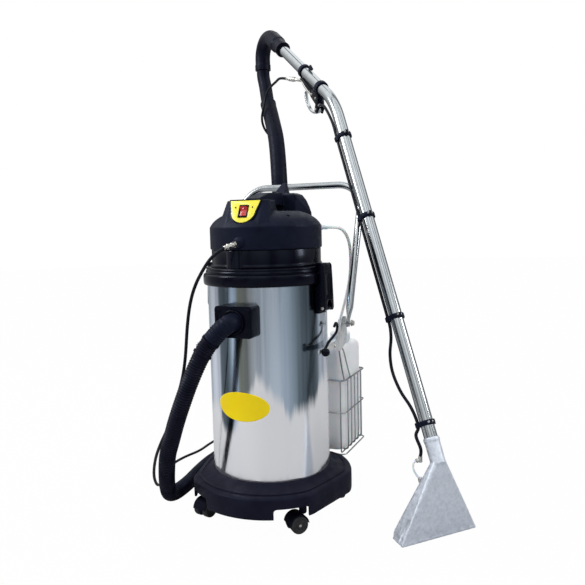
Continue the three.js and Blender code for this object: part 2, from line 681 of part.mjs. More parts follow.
function basket() {
  const [x, y0, y1, z0, z1] = [BASKET_X, BASKET_Y0, BASKET_Y1, BASKET_Z0, BASKET_Z1];
  const bars = [];
  for (const z of [z0, (z0 + z1) / 2 + 12, z1]) {
    bars.push(wireBar([-x, y0, z], [x, y0, z]), wireBar([-x, y1, z], [x, y1, z]));
    bars.push(wireBar([-x, y0, z], [-x, y1, z]), wireBar([x, y0, z], [x, y1, z]));
  }
  for (let i = 0; i <= 6; i += 1) {
    const at = -x + (2 * x * i) / 6;
    bars.push(wireBar([at, y0, z0], [at, y0, z1]), wireBar([at, y1, z0], [at, y1, z1]));
    bars.push(wireBar([at, y0, z0], [at, y1, z0]));
  }
  for (let i = 1; i < 4; i += 1) {
    const at = y0 + ((y1 - y0) * i) / 4;
    bars.push(wireBar([-x, at, z0], [-x, at, z1]), wireBar([x, at, z0], [x, at, z1]));
  }
  return join(...bars);
}

// runs from the basket's front corner up to the inside of the handle bracket
function basketHanger(side) {
  const foot = [side * BASKET_X, BASKET_Y0, BASKET_Z1 + WIRE];
  return wireBar(foot, [side * (PLATE_X0 - 3), 78, 490]);
}

function roundedBlock(x, y0, y1, radius) {
  const shape = new THREE.Shape();
  const [right, low, high] = [x - radius, y0 + radius, y1 - radius];
  shape.absarc(right, low, radius, -Math.PI / 2, 0, false);
  shape.absarc(right, high, radius, 0, Math.PI / 2, false);
  shape.absarc(-right, high, radius, Math.PI / 2, Math.PI, false);
  shape.absarc(-right, low, radius, Math.PI, 1.5 * Math.PI, false);
  shape.closePath();
  return shape;
}

function solutionTank() {
  const wall = TANK_WALL;
  const outside = raised(roundedBlock(TANK_X, TANK_Y0, TANK_Y1, 24), TANK_Z0, TANK_Z1, 3);
  const room = roundedBlock(TANK_X - wall, TANK_Y0 + wall, TANK_Y1 - wall, 21);
  const inside = raised(room, TANK_Z0 + wall, TANK_Z1 - wall, 3);
  const neck = rod([...NECK, TANK_Z1 - 2], [...NECK, TANK_Z1 + 24], NECK_R, 20);
  const mouth = rod([...NECK, TANK_Z1 - 12], [...NECK, TANK_Z1 + 30], NECK_R - 3, 20);
  return cut(join(outside, neck), inside, mouth);
}

function tankCap() {
  const z = TANK_Z1 + 24 + GAP;
  const outside = [[6.2, z + 9], [NECK_R + 5, z + 9], [NECK_R + 6, z + 7], [NECK_R + 6, z - 19]];
  const inside = [[NECK_R + 1, z - 19], [NECK_R + 1, z], [6.2, z], [6.2, z + 9]];
  return turned([...outside, ...inside], 20).translate([...NECK, 0]);
}

// dips to the tank floor; its collar stands on the cap
function pickupTube() {
  const z = TANK_Z1 + 24 + GAP;
  const stem = rod([...NECK, TANK_Z0 + 16], [...NECK, z + 20], 5.2, 10);
  const collar = rod([...NECK, z + 9 + GAP], [...NECK, z + 16], 10, 14);
  return join(stem, collar);
}

// ---------- wand ----------
// heights and reach in the wand's own plane: x across the tool, y towards the machine, z up
const WAND_FERRULE = [0, 32, 262];
const WAND_BEND = [0, 540, 1247.5];
const WAND_END = [0, 908, 1492];
const TUBE_EXTRA = 60;              // how far the tube runs on inside the elbow, past that point
const WAND_BEND_R = 240;
const ELBOW_MOUTH_Z = 1470;

const wandRoute = filleted([WAND_FERRULE, WAND_BEND, WAND_END], WAND_BEND_R);
const lowerDir = new THREE.Vector3(...WAND_BEND).sub(new THREE.Vector3(...WAND_FERRULE)).normalize();
const upperDir = new THREE.Vector3(...WAND_END).sub(new THREE.Vector3(...WAND_BEND)).normalize();
const lowerUnder = new THREE.Vector3(0, lowerDir.z, -lowerDir.y);
const upperUnder = new THREE.Vector3(0, upperDir.z, -upperDir.y);

// a point of the lower tube: how far up from the ferrule, how far below the axis, how far to the side
function lowerAt(distance, below = 0, side = 0) {
  const at = new THREE.Vector3(...WAND_FERRULE).addScaledVector(lowerDir, distance);
  return at.addScaledVector(lowerUnder, below).add(new THREE.Vector3(side, 0, 0)).toArray();
}

// a point of the upper tube, measured back from its end
function upperAt(distance, below = 0, side = 0) {
  const at = new THREE.Vector3(...WAND_END).addScaledVector(upperDir, -distance);
  return at.addScaledVector(upperUnder, below).add(new THREE.Vector3(side, 0, 0)).toArray();
}

function wandTube() {
  const route = [lowerAt(-18), ...wandRoute.slice(1, -1), upperAt(-TUBE_EXTRA)];
  return tube(smooth(route, 60), WAND_R, WAND_R - 1.6, 12, 21);
}

// one band round the tube with an eye for the thin hose beside it
const EYE = [17.5, -17.5];
const THIN_R = 4.6;

function clampAt(place, distance, halfWidth) {
  const [below, side] = EYE;
  const band = rod(place(distance - halfWidth), place(distance + halfWidth), WAND_R + 4.5, 16);
  const eye = rod(place(distance - halfWidth, below, side), place(distance + halfWidth, below, side), 8.6, 10);
  const reach = halfWidth + 2;
  const bore = rod(place(distance - reach), place(distance + reach), WAND_R + 0.9, 16);
  const hole = rod(place(distance - reach, below, side), place(distance + reach, below, side), THIN_R + 1, 8);
  return cut(join(band, eye), bore, hole);
}

const CLAMPS = [['clamp_upper', 972], ['clamp_middle', 683], ['clamp_lower', 355], ['clamp_foot', 45]];

// trigger grip: two bands, the strap between them and the valve with the trigger's ears
const VALVE_REAR = 191;
const VALVE_FRONT = 337;
const TRIGGER_PIVOT = [360, 66];

function plateOnUpper(outline, x0, x1) {
  return plateAlongX(outline.map(([distance, below]) => upperAt(distance, below).slice(1)), x0, x1);
}

function valveBody() {
  const bore = rod(upperAt(150), upperAt(400), WAND_R + 0.9, 16);
  const rear = rod(upperAt(VALVE_REAR - 8), upperAt(VALVE_REAR + 8), WAND_R + 5, 16);
  const front = rod(upperAt(VALVE_FRONT - 10), upperAt(VALVE_FRONT + 8), WAND_R + 5, 16);
  const strap = plateOnUpper([[183, 20], [199, 20], [300, 26], [300, 40], [240, 36], [183, 32]], -7, 7);
  const housing = [[296, 20], [348, 20], [372, 58], [370, 76], [352, 76], [346, 54], [320, 50], [296, 46]];
  const body = plateOnUpper(housing, -13, 13);
  const slot = plateOnUpper([[346.5, 52], [380, 52], [380, 90], [344, 90]], -6.6, 6.6);
  const pin = rod(upperAt(...TRIGGER_PIVOT, -20), upperAt(...TRIGGER_PIVOT, 20), 3.3, 10);
  return cut(join(rear, front, strap, body), bore, slot, pin);
}

function trigger() {
  const outer = [[354, 74], [340, 84], [310, 90], [280, 84], [252, 68], [236, 52], [232, 55], [248, 73]];
  const inner = [[277, 89], [310, 95], [344, 89], [362, 77]];
  const blade = plateOnUpper([...outer, ...inner], -6, 6);
  const barrel = rod(upperAt(...TRIGGER_PIVOT, -6), upperAt(...TRIGGER_PIVOT, 6), 8, 14);
  const web = plateOnUpper([[354, 64], [366, 70], [362, 77], [352, 76]], -6, 6);
  const pin = rod(upperAt(...TRIGGER_PIVOT, -12.6), upperAt(...TRIGGER_PIVOT, 12.6), 3, 10);
  return join(blade, barrel, web, pin);
}

// quick coupling behind the strap; the free end takes the solution hose
const COUPLER_SEAT = upperAt(VALVE_REAR - 12, 36);
const COUPLER_DIR = new THREE.Vector3(-0.343, 0.91, 0.233).normalize();
const COUPLER_LENGTH = 74;

function alongCoupler(distance) {
  return new THREE.Vector3(...COUPLER_SEAT).addScaledVector(COUPLER_DIR, distance).toArray();
}

function hoseCoupler() {
  return join(rod(alongCoupler(0), alongCoupler(COUPLER_LENGTH), 6, 10), rod(alongCoupler(34), alongCoupler(62), 8, 10));
}

// thin hose clipped down the wand, with one slack bow above the tool
function wandHose() {
  const eye = (distance) => lowerAt(distance, ...EYE);
  const route = [
    upperAt(373 + GAP, 46, -8), upperAt(392, 38, -14), upperAt(412, 29, -18), eye(1040), eye(972),
    eye(900), eye(683), eye(400), eye(355), eye(336), lowerAt(300, 26, -20), lowerAt(262, 46, -24),
    lowerAt(212, 56, -26), lowerAt(150, 46, -24), lowerAt(100, 26, -19), eye(62), eye(45), eye(35),
    lowerAt(26, 27, -27), lowerAt(8, 27, -27), lowerAt(-20, 27, -23), JET_AT.slice(),
  ];
  return tube(spline(route), THIN_R, 0, 6, 46);
}

// ---------- floor tool ----------
const JET_AT = [-27, 46, 214];
const NOZZLE_AT = [-34, 38.5, 150];

function floorTool() {
  const half = TOOL_WIDTH / 2;
  const neckRing = [];
  for (let i = 0; i < 16; i += 1) {
    const [below, side] = [21 * Math.cos((i * Math.PI) / 8), 21 * Math.sin((i * Math.PI) / 8)];
    neckRing.push(lowerAt(-58, below, side));
  }
  const mouth = [[-half, -4, 0], [half, -4, 0], [-half, -4, 6], [half, -4, 6]];
  const heel = [[-116, 50, 0], [116, 50, 0], [-112, 50, 22], [112, 50, 22]];
  const shell = hull([...mouth, ...heel, [-4, -4, 203], [4, -4, 203], ...neckRing]);
  const collar = rod(lowerAt(-62), lowerAt(5), 21.6, 16);
  const band = rod(lowerAt(-6), lowerAt(3), 22.4, 16);
  const inner = [[-117, 0, -1], [117, 0, -1], [-110, 45.5, -1], [110, 45.5, -1], [-104, 45.5, 20], [104, 45.5, 20],
    [0, 3, 186]];
  for (let i = 0; i < 12; i += 1) {
    const [below, side] = [12 * Math.cos((i * Math.PI) / 6), 12 * Math.sin((i * Math.PI) / 6)];
    inner.push(lowerAt(-56, below, side));
  }
  const bore = rod(lowerAt(-52), lowerAt(30), 14, 12);
  const socket = rod(lowerAt(-18 - GAP), lowerAt(40), WAND_R + 0.9, 16);
  return cut(join(shell, collar, band), hull(inner), bore, socket);
}

// elbow on the back of the neck where the thin hose ends and the jet tube starts
function jetElbow() {
  const [x, y, z] = JET_AT;
  const body = rod([x, y, z - 2.5], [x, y, z - 14], 6.5, 10);
  const stub = rod([x, y, z - 8], [x - 12, y + 3, z - 10], 4.5, 10);
  return join(body, stub, ball([x, y, z - 12], 6.5, 10));
}

function jetTube() {
  const [x, y, z] = JET_AT;
  const route = [[x - 13.4, y + 3.2, z - 10.2], [x - 20, y + 4, z - 14], [x - 23, y + 4, z - 28],
    [x - 18, y + 3, z - 46], [x - 12, y + 1, z - 60]];
  return tube(spline(route), 2.6, 0, 8, 10);
}

// ---------- elbow at the wand's end ----------
function wandElbow() {
  const sleeveEnd = new THREE.Vector3(...upperAt(-135));
  const bendRadius = 65;
  const centre = sleeveEnd.clone().addScaledVector(upperUnder, bendRadius);
  const outlet = [0, centre.y + bendRadius, centre.z];
  const start = Math.atan2(sleeveEnd.z - centre.z, sleeveEnd.y - centre.y);
  const arc = [];
  for (let i = 0; i <= 8; i += 1) {
    const angle = start * (1 - i / 8);
    arc.push([0, centre.y + bendRadius * Math.cos(angle), centre.z + bendRadius * Math.sin(angle)]);
  }
  const tail = [0, outlet[1], ELBOW_MOUTH_Z];
  const route = [upperAt(-70), upperAt(-100), ...arc, tail];
  const path = smooth(route, 200);
  const outside = join(tube(path, 29, 0, 12, 10), rod(upperAt(-20), upperAt(-76), 28, 16),
    rod(upperAt(-68), upperAt(-135), 31, 16), rod([0, outlet[1], ELBOW_MOUTH_Z + 22], tail, 31, 16));
  const below = [0, outlet[1], ELBOW_MOUTH_Z - 10];
  const inside = tube(smooth([upperAt(-40), upperAt(-100), ...arc, below], 200), 19, 0, 10, 11);
  return cut(outside, inside, rod(upperAt(0), upperAt(-TUBE_EXTRA - GAP), WAND_R + 0.35, 20));
}

// ---------- free hoses, in the machine's frame ----------
const WAND_COS = Math.cos(WAND_TURN * DEG);
const WAND_SIN = Math.sin(WAND_TURN * DEG);

function fromWand([x, y, z]) {
  return [WAND_FOOT[0] + x * WAND_COS - y * WAND_SIN, WAND_FOOT[1] + x * WAND_SIN + y * WAND_COS, z];
}

// one run from the inlet's collar to the elbow at the wand's end, cut into elbow, cuff and hose
const HOSE_RUN = [
  [0, -230, 594], [-5, -241, 591], [-22, -249, 576], [-40, -252, 556], [-50, -253, 545],
  [-62, -258, 527], [-73, -264, 507], [-84, -268, 484], [-107, -275, 432], [-128, -279, 380],
  [-151, -278, 325], [-178, -267, 265], [-206, -247, 214], [-236, -213, 150], [-268, -168, 84],
  [-290, -126, 42], [-299, -84, 26.5], [-301, -40, 25], [-307, 12, 25], [-325, 107, 25],
  [-336, 204, 25], [-333, 300, 25], [-310, 400, 26], [-285, 455, 40], [-255, 492, 95],
  [-230, 507, 180], [-205, 512, 320], [-190, 512, 500], [-181, 506, 760], [-184, 505, 998],
  [-219, 560, 1173], [-258, 610, 1258], [-297, 660, 1333], [-322, 692, 1405], [-334.6, 702.6, 1446], [-335.6, 703.3, 1468],
];
const ELBOW_LENGTH = 74;
const CUFF_LENGTH = 44;
const JOINT_GAP = 1.5;
const SLEEVE_R = 30;                // smooth sleeve over the hose behind the head
const SLEEVE_END = 150;             // from the sleeve's upper end to the elbow
const SLEEVE_LENGTH = 520;
const SOLUTION_HOSE = [
  alongSocket(44 + GAP), alongSocket(56), [-59, -213, 770], [-80, -219, 741], [-106, -225, 696], [-125, -226, 645],
  [-137, -228, 575], [-141, -230, 528], [-148, -228, 485], [-161, -222, 440], [-202, -205, 347],
  [-249, -180, 267], [-290, -160, 211], [-342, -122, 138], [-379, -82, 64], [-393, -50, 24], [-404, -22, 11],
  [-420, 20, 6.5],
  [-462, 110, 6], [-480, 185, 6], [-476, 250, 6], [-462, 318, 6], [-466, 400, 6], [-462, 470, 6],
  [-440, 540, 6], [-395, 590, 6], [-330, 618, 8], [-268, 610, 24], [-232, 585, 80], [-222, 565, 160],
  [-219, 556, 320], [-205, 554, 500], [-196, 548, 760], [-199, 547, 998], [-214, 560, 1060], [-251, 552, 1130],
  [-270, 554, 1200], [-272, 572, 1262], [-280, 590, 1301], [-279, 600, 1337], [-253, 585, 1373], [-214, 560, 1386],
  fromWand(alongCoupler(COUPLER_LENGTH + 34)), fromWand(alongCoupler(COUPLER_LENGTH + 14)),
  fromWand(alongCoupler(COUPLER_LENGTH + 0.8)),
];
const hoseRun = spline(HOSE_RUN);
hoseRun.arcLengthDivisions = 800;

const SUCTION_TUBE = [
  alongSpigot(186 + GAP), alongSpigot(200), [182, 138, 836], [189, 166, 820], [190, 196, 790], [184, 226, 740],
  [170, 256, 680], [150, 282, 620], [130, 297, 565], [...NECK, 525], [...NECK, TANK_Z1 + 24 + GAP * 2 + 20],
];

// ---------- assembly ----------
function addBaseAndDrum(parent) {
  node(parent, 'base_chassis', baseChassis(), black);
  addCasters(parent);
  node(parent, 'drum_shell', drumShell(), steel);
  node(parent, 'drum_rim_band', rimBand(), black);
  node(parent, 'inlet_block', inletBlock(), gloss);
  node(parent, 'inlet_elbow', inletElbow(), black);
  node(parent, 'front_badge', frontBadge(), yellow);
}

function addLatches(parent) {
  for (const [label, side] of [['left', -1], ['right', 1]]) {
    node(parent, `latch_bracket_${label}`, latchBracket(side), gloss);
    node(parent, `latch_lever_${label}`, latchLever(side), black);
  }
}

function addHead(parent) {
  node(parent, 'head_flange', headFlange(), black);
  node(parent, 'head_housing', headHousing(), gloss);
  node(parent, 'head_cover', headCover(), black);
  node(parent, 'vacuum_motor', vacuumMotor(), motorGrey);
  node(parent, 'spray_pump', sprayPump(), motorGrey);
  node(parent, 'filter_basket', filterBasket(), gloss);
  node(parent, 'float_ball', ball([0, 0, 641], 24, 16), white);
  const panel = panelFrame(parent);
  node(panel, 'control_panel', shield(), yellow);
  node(panel, 'switch_bezel', switchBezel(), gloss);
  node(panel, 'rocker_switch', rocker(), red);
  const socket = join(rod(alongSocket(-13), alongSocket(30), 6, 12), rod(alongSocket(14.3), alongSocket(20), 9, 6));
  node(parent, 'solution_socket', socket, nickel);
  const spigot = join(rod(alongSpigot(148), alongSpigot(186), 5, 12), rod(alongSpigot(165), alongSpigot(170), 9, 6));
  node(parent, 'suction_spigot', spigot, white);
}

function addHandle(parent) {
  for (const [label, side] of [['left', -1], ['right', 1]]) {
    node(parent, `handle_bracket_${label}`, handleSide(side), plate);
    node(parent, `handle_bolt_${label}`, handleBolt(side), nickel);
  }
  node(parent, 'push_handle', pushHandle(), chrome);
  node(parent, 'cable_hook', cableHook(), gloss);
}

function addTank(parent) {
  node(parent, 'wire_basket', basket(), wire);
  for (const [label, side] of [['left', -1], ['right', 1]]) {
    node(parent, `basket_hanger_${label}`, basketHanger(side), wire);
  }
  node(parent, 'solution_tank', solutionTank(), white);
  node(parent, 'tank_cap', tankCap(), white);
  node(parent, 'pickup_tube', pickupTube(), white);
}

function addWand(parent) {
  const wand = group(parent, [...WAND_FOOT, 0], WAND_TURN);
  node(wand, 'wand_tube', wandTube(), chrome);
  for (const [name, distance] of CLAMPS) node(wand, name, clampAt(lowerAt, distance, 7), rubber);
  node(wand, 'valve_body', valveBody(), rubber);
  node(wand, 'trigger_lever', trigger(), chrome);
  node(wand, 'hose_coupler', hoseCoupler(), chrome);
  node(wand, 'wand_hose', wandHose(), rubber);
  node(wand, 'floor_tool', floorTool(), cast);
  node(wand, 'jet_elbow', jetElbow(), nickel);
  node(wand, 'jet_tube', jetTube(), white);
  node(wand, 'wand_elbow', wandElbow(), black);
}

function addHoses(parent) {
  const cuffStart = ELBOW_LENGTH + JOINT_GAP;
  const hoseStart = cuffStart + CUFF_LENGTH + JOINT_GAP;
  const cuff = tube(stretch(hoseRun, cuffStart, cuffStart + CUFF_LENGTH, 30), 26.5, 21, 12, 4);
  const route = stretch(hoseRun, hoseStart, hoseRun.getLength(), 400);
  const top = hoseRun.getLength() - SLEEVE_END;
  const sleeve = tube(stretch(hoseRun, top - SLEEVE_LENGTH, top, 60), SLEEVE_R, 0, 12, 8);
  const hose = cut(join(tube(route, HOSE_R, 0, 8, 36), sleeve), tube(route, HOSE_R - 2.5, 0, 8, 36));
  node(parent, 'hose_cuff', cuff, rubber);
  node(parent, 'vacuum_hose', hose, rubber);
  const plug = join(rod(alongSocket(30 + GAP), alongSocket(44), 7.5, 10), rod(alongSocket(33), alongSocket(41), 8.6, 6));
  node(parent, 'solution_plug', plug, nickel);
  node(parent, 'solution_hose', tube(spline(SOLUTION_HOSE), THIN_R, 0, 8, 66), rubber);
  node(parent, 'suction_tube', tube(spline(SUCTION_TUBE), 4.6, 0, 8, 20), white);
}

const CORDS = ['hose_cuff', 'vacuum_hose', 'solution_plug', 'solution_hose', 'suction_tube', 'hose_coupler'];

// the origin is on the floor, in the middle of the footprint without the free hoses
function centred(machine) {
  const bounds = new THREE.Box3();
  machine.updateMatrixWorld(true);
  machine.traverse((object) => {
    if (object.isMesh && !CORDS.includes(object.name)) bounds.expandByObject(object, true);
  });
  machine.position.set(-(bounds.min.x + bounds.max.x) / 2, -(bounds.min.y + bounds.max.y) / 2, 0);
  return machine;
}

const machine = new THREE.Group();
addBaseAndDrum(machine);
addLatches(machine);
addHead(machine);
addHandle(machine);
addTank(machine);
addWand(machine);
addHoses(machine);

const carpetCleaner = new THREE.Group();
carpetCleaner.add(centred(machine));
export default carpetCleaner;
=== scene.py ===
"""Looks for the carpet cleaner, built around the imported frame.

Lengths in the making functions are millimetres in the machine's own frame, where the drum's axis
is x = y = 0, the floor is z = 0 and the front is -y. metres() gives the place in the shared frame.
"""
from math import atan2, copysign, cos, pi, radians, sin, sqrt, tan

import bmesh
import bpy
from mathutils import Matrix, Vector


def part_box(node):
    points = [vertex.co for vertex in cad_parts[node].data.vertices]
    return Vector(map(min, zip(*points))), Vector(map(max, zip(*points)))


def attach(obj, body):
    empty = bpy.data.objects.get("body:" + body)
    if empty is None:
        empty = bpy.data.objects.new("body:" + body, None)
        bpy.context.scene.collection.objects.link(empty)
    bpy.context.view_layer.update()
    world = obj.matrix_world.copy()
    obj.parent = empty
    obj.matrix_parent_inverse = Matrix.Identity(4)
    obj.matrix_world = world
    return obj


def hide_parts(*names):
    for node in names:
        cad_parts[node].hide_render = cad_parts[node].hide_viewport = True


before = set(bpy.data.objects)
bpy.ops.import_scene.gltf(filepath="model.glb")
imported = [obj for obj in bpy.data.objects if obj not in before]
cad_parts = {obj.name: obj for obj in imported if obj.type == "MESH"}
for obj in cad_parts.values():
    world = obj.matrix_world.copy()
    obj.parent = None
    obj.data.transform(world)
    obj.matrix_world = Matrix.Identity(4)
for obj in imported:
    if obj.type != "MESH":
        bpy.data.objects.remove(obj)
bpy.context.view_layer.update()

MM = 0.001
DRUM_LOW, DRUM_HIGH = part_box("drum_shell")
AXIS = Vector(((DRUM_LOW.x + DRUM_HIGH.x) / 2, (DRUM_LOW.y + DRUM_HIGH.y) / 2, 0))
DRUM_R = 175.0


def metres(point):
    return AXIS + Vector(point) * MM


# ---------- wand frame: x across the tool, y towards the machine, z up ----------
WAND_FOOT = Vector((510.7, -32.5, 0))
WAND_TURN = Matrix.Rotation(radians(49), 3, "Z")
FERRULE = Vector((0, 32, 262))
BEND = Vector((0, 540, 1247.5))
WAND_END = Vector((0, 908, 1492))
LOWER_DIR = (BEND - FERRULE).normalized()
UPPER_DIR = (WAND_END - BEND).normalized()
LOWER_UNDER = Vector((0, LOWER_DIR.z, -LOWER_DIR.y))
UPPER_UNDER = Vector((0, UPPER_DIR.z, -UPPER_DIR.y))
WAND_R = 19.0


def from_wand(point):
    return WAND_FOOT + WAND_TURN @ Vector(point)


def lower_at(distance, below=0.0, side=0.0):
    return FERRULE + LOWER_DIR * distance + LOWER_UNDER * below + Vector((side, 0, 0))


def upper_at(distance, below=0.0, side=0.0):
    return WAND_END - UPPER_DIR * distance + UPPER_UNDER * below + Vector((side, 0, 0))


def add_object(name, data):
    made = bpy.data.objects.new(name, data)
    bpy.context.scene.collection.objects.link(made)
    return made


# ---------- shader nodes ----------
def node(tree, kind, inputs=None, **settings):
    """Adds a shader node. An input is given a value, or the output that feeds it."""
    made = tree.nodes.new("ShaderNode" + kind)
    for key, value in settings.items():
        setattr(made, key, value)
    for key, value in (inputs or {}).items():
        if isinstance(value, bpy.types.NodeSocket):
            tree.links.new(value, made.inputs[key])
        else:
            made.inputs[key].default_value = value
    return made


def ramp_of(tree, factor, stops):
    made = node(tree, "ValToRGB", {"Fac": factor})
    elements = made.color_ramp.elements
    for element, (position, colour) in zip(elements, (stops[0], stops[-1])):
        element.position = position
        element.color = (*colour, 1)
    for position, colour in stops[1:-1]:
        elements.new(position).color = (*colour, 1)
    return made.outputs["Color"]


def compass(tree, place):
    """The direction of a place round the z axis, from -180 to 180 degrees as 0 to 1, and its height."""
    split = node(tree, "SeparateXYZ", {0: place})
    angle = node(tree, "Math", {0: split.outputs["Y"], 1: split.outputs["X"]}, operation="ARCTAN2")
    share = node(tree, "MapRange", {"Value": angle.outputs[0], "From Min": -pi, "From Max": pi})
    return share.outputs[0], split.outputs["Z"]


def grey(value, tint=0.0):
    return (value * (1 - tint), value * (1 - tint * 0.4), value)


# ---------- camera, floor and light ----------
WHITE = (1, 1, 1, 1)
PAPER = (0.42, 0.42, 0.425, 1)
PAPER_GLOW = 0.985      # how much of the floor that the camera sees is plain white
CAMERA_PLACE = Vector((0.8408, -1.7239, 0.8474))
CAMERA_ANGLES = (23.798, 5.879, -1.379)     # turn, pitch and roll in degrees


def add_camera():
    data = bpy.data.cameras.new("camera")
    data.lens = 40.0
    data.sensor_width = 36.0
    data.clip_start = 0.05
    data.clip_end = 60
    camera = add_object("camera", data)
    turn, pitch, roll = (radians(angle) for angle in CAMERA_ANGLES)
    ahead = Vector((-sin(turn) * cos(pitch), cos(turn) * cos(pitch), -sin(pitch)))
    right = Vector((cos(turn), sin(turn), 0))
    up = right.cross(ahead)
    rolled_right = right * cos(roll) + up * sin(roll)
    rolled_up = up * cos(roll) - right * sin(roll)
    axes = Matrix((rolled_right, rolled_up, -ahead)).transposed()
    camera.matrix_world = Matrix.Translation(AXIS + CAMERA_PLACE) @ axes.to_4x4()
    bpy.context.scene.camera = camera
    bpy.context.scene.view_settings.view_transform = "Standard"


def add_area(name, place, target, size, power):
    data = bpy.data.lights.new(name, "AREA")
    data.energy = power
    data.size = size
    light = add_object(name, data)
    light.location = place
    light.rotation_euler = (Vector(target) - Vector(place)).to_track_quat("-Z", "Y").to_euler()


def add_stage():
    made = bmesh.new()
    bmesh.ops.create_circle(made, cap_ends=True, radius=14, segments=96)
    mesh = bpy.data.meshes.new("floor")
    made.to_mesh(mesh)
    made.free()
    floor = add_object("floor", mesh)
    floor.location = (0, 0, -0.0004)
    look = bpy.data.materials.new("floor_paper")
    look.use_nodes = True
    tree = look.node_tree
    shader = tree.nodes["Principled BSDF"]
    shader.inputs["Base Color"].default_value = PAPER
    shader.inputs["Roughness"].default_value = 0.85
    seen = node(tree, "LightPath").outputs["Is Camera Ray"]
    share = node(tree, "Math", {0: seen, 1: PAPER_GLOW}, operation="MULTIPLY")
    glow = node(tree, "Emission", {"Color": WHITE})
    both = node(tree, "MixShader", {0: share.outputs[0], 1: shader.outputs[0], 2: glow.outputs[0]})
    tree.links.new(both.outputs[0], tree.nodes["Material Output"].inputs["Surface"])
    mesh.materials.append(look)


# the room's brightness by compass direction, from -180 to 180 degrees as 0 to 1
ROOM_BANDS = [(0.0, 0.75), (0.08, 0.9), (0.115, 0.12), (0.135, 0.12), (0.15, 0.95), (0.19, 1.0),
        (0.215, 0.35), (0.235, 0.85), (0.285, 1.0), (0.325, 0.9), (0.345, 0.25), (0.365, 0.25),
        (0.39, 0.8), (0.44, 0.95), (0.475, 0.3), (0.5, 0.12), (0.52, 0.7), (0.6, 0.9), (0.66, 0.25),
        (0.7, 0.1), (0.74, 0.7), (0.82, 0.9), (0.86, 0.15), (0.89, 0.15), (0.92, 0.85), (1.0, 0.75)]


def add_world():
    world = bpy.data.worlds.new("studio")
    bpy.context.scene.world = world
    world.use_nodes = True
    tree = world.node_tree
    tree.nodes.clear()
    bearing, height = compass(tree, node(tree, "TexCoord").outputs["Generated"])
    bands = ramp_of(tree, bearing, [(at, grey(value, 0.04 if 0 < at < 1 else 0))
            for at, value in ROOM_BANDS])
    lift = node(tree, "MapRange", {"Value": height, "From Min": 0.15, "From Max": 0.8, "To Min": 0.55,
            "To Max": 2.0})
    room = node(tree, "Background", {"Color": bands, "Strength": lift.outputs[0]})
    plain = node(tree, "Background", {"Color": WHITE})
    seen = node(tree, "LightPath").outputs["Is Camera Ray"]
    mix = node(tree, "MixShader", {0: seen, 1: room.outputs[0], 2: plain.outputs[0]})
    node(tree, "OutputWorld", {"Surface": mix.outputs[0]})


# ---------- curves ----------
def catmull(points, step=6.0):
    """A centripetal curve through the points, sampled about every step millimetres."""
    pts = [Vector(p) for p in points]
    ends = [pts[0] * 2 - pts[1], *pts, pts[-1] * 2 - pts[-2]]
    made = [pts[0].copy()]
    for i in range(1, len(ends) - 2):
        a, b, c, d = ends[i - 1:i + 3]
        gaps = [max(1e-4, (q - p).length ** 0.5) for p, q in ((a, b), (b, c), (c, d))]
        t0, t1 = 0.0, gaps[0]
        t2, t3 = t1 + gaps[1], t1 + gaps[1] + gaps[2]
        count = max(2, int((c - b).length / step))
        for k in range(1, count + 1):
            t = t1 + (t2 - t1) * k / count
            ab = a.lerp(b, (t - t0) / (t1 - t0))
            bc = b.lerp(c, (t - t1) / (t2 - t1))
            cd = c.lerp(d, (t - t2) / (t3 - t2))
            abc = ab.lerp(bc, (t - t0) / (t2 - t0))
            bcd = bc.lerp(cd, (t - t1) / (t3 - t1))
            made.append(abc.lerp(bcd, (t - t1) / (t2 - t1)))
    return made


def even(points, step):
    """The same line with its points a fixed distance apart."""
    total = length_of(points)
    count = max(1, round(total / step))
    made, walked, target, i = [points[0].copy()], 0.0, total / count, 0
    for k in range(1, count):
        while walked + (points[i + 1] - points[i]).length < target * k:
            walked += (points[i + 1] - points[i]).length
            i += 1
        part = (target * k - walked) / (points[i + 1] - points[i]).length
        made.append(points[i].lerp(points[i + 1], part))
    made.append(points[-1].copy())
    return made


def relaxed(points, rounds):
    """Evens out small kinks; the ends and the first direction stay."""
    line = [p.copy() for p in points]
    for _ in range(rounds):
        line = [p if i < 2 or i > len(line) - 3 else (line[i - 1] + line[i + 1]) / 4 + p / 2
                for i, p in enumerate(line)]
    return line


def length_of(points):
    return sum((b - a).length for a, b in zip(points, points[1:]))


def filleted(corners, radius, steps=12):
    pts = [Vector(c) for c in corners]
    route = [pts[0]]
    for before, corner, after in zip(pts, pts[1:], pts[2:]):
        back, ahead = (before - corner).normalized(), (after - corner).normalized()
        half = back.angle(ahead) / 2
        reach = radius / tan(half)
        centre = corner + (back + ahead).normalized() * (radius / sin(half))
        start, end = corner + back * reach - centre, corner + ahead * reach - centre
        axis, sweep = start.cross(end).normalized(), start.angle(end)
        route += [centre + Matrix.Rotation(sweep * k / steps, 3, axis) @ start for k in range(steps + 1)]
    return [*route, pts[-1]]


# ---------- shapes: each returns (corner points, faces) in millimetres ----------
def frames_along(points):
    """A direction and two cross axes at each point, carried along without twist."""
    count = len(points)
    made, normal = [], None
    for i, point in enumerate(points):
        ahead = (points[min(i + 1, count - 1)] - points[max(i - 1, 0)]).normalized()
        if normal is None:
            seed = Vector((0, 0, 1)) if abs(ahead.z) < 0.9 else Vector((1, 0, 0))
            normal = (seed - ahead * seed.dot(ahead)).normalized()
        else:
            normal = (normal - ahead * normal.dot(ahead)).normalized()
        made.append((ahead, normal, ahead.cross(normal)))
    return made


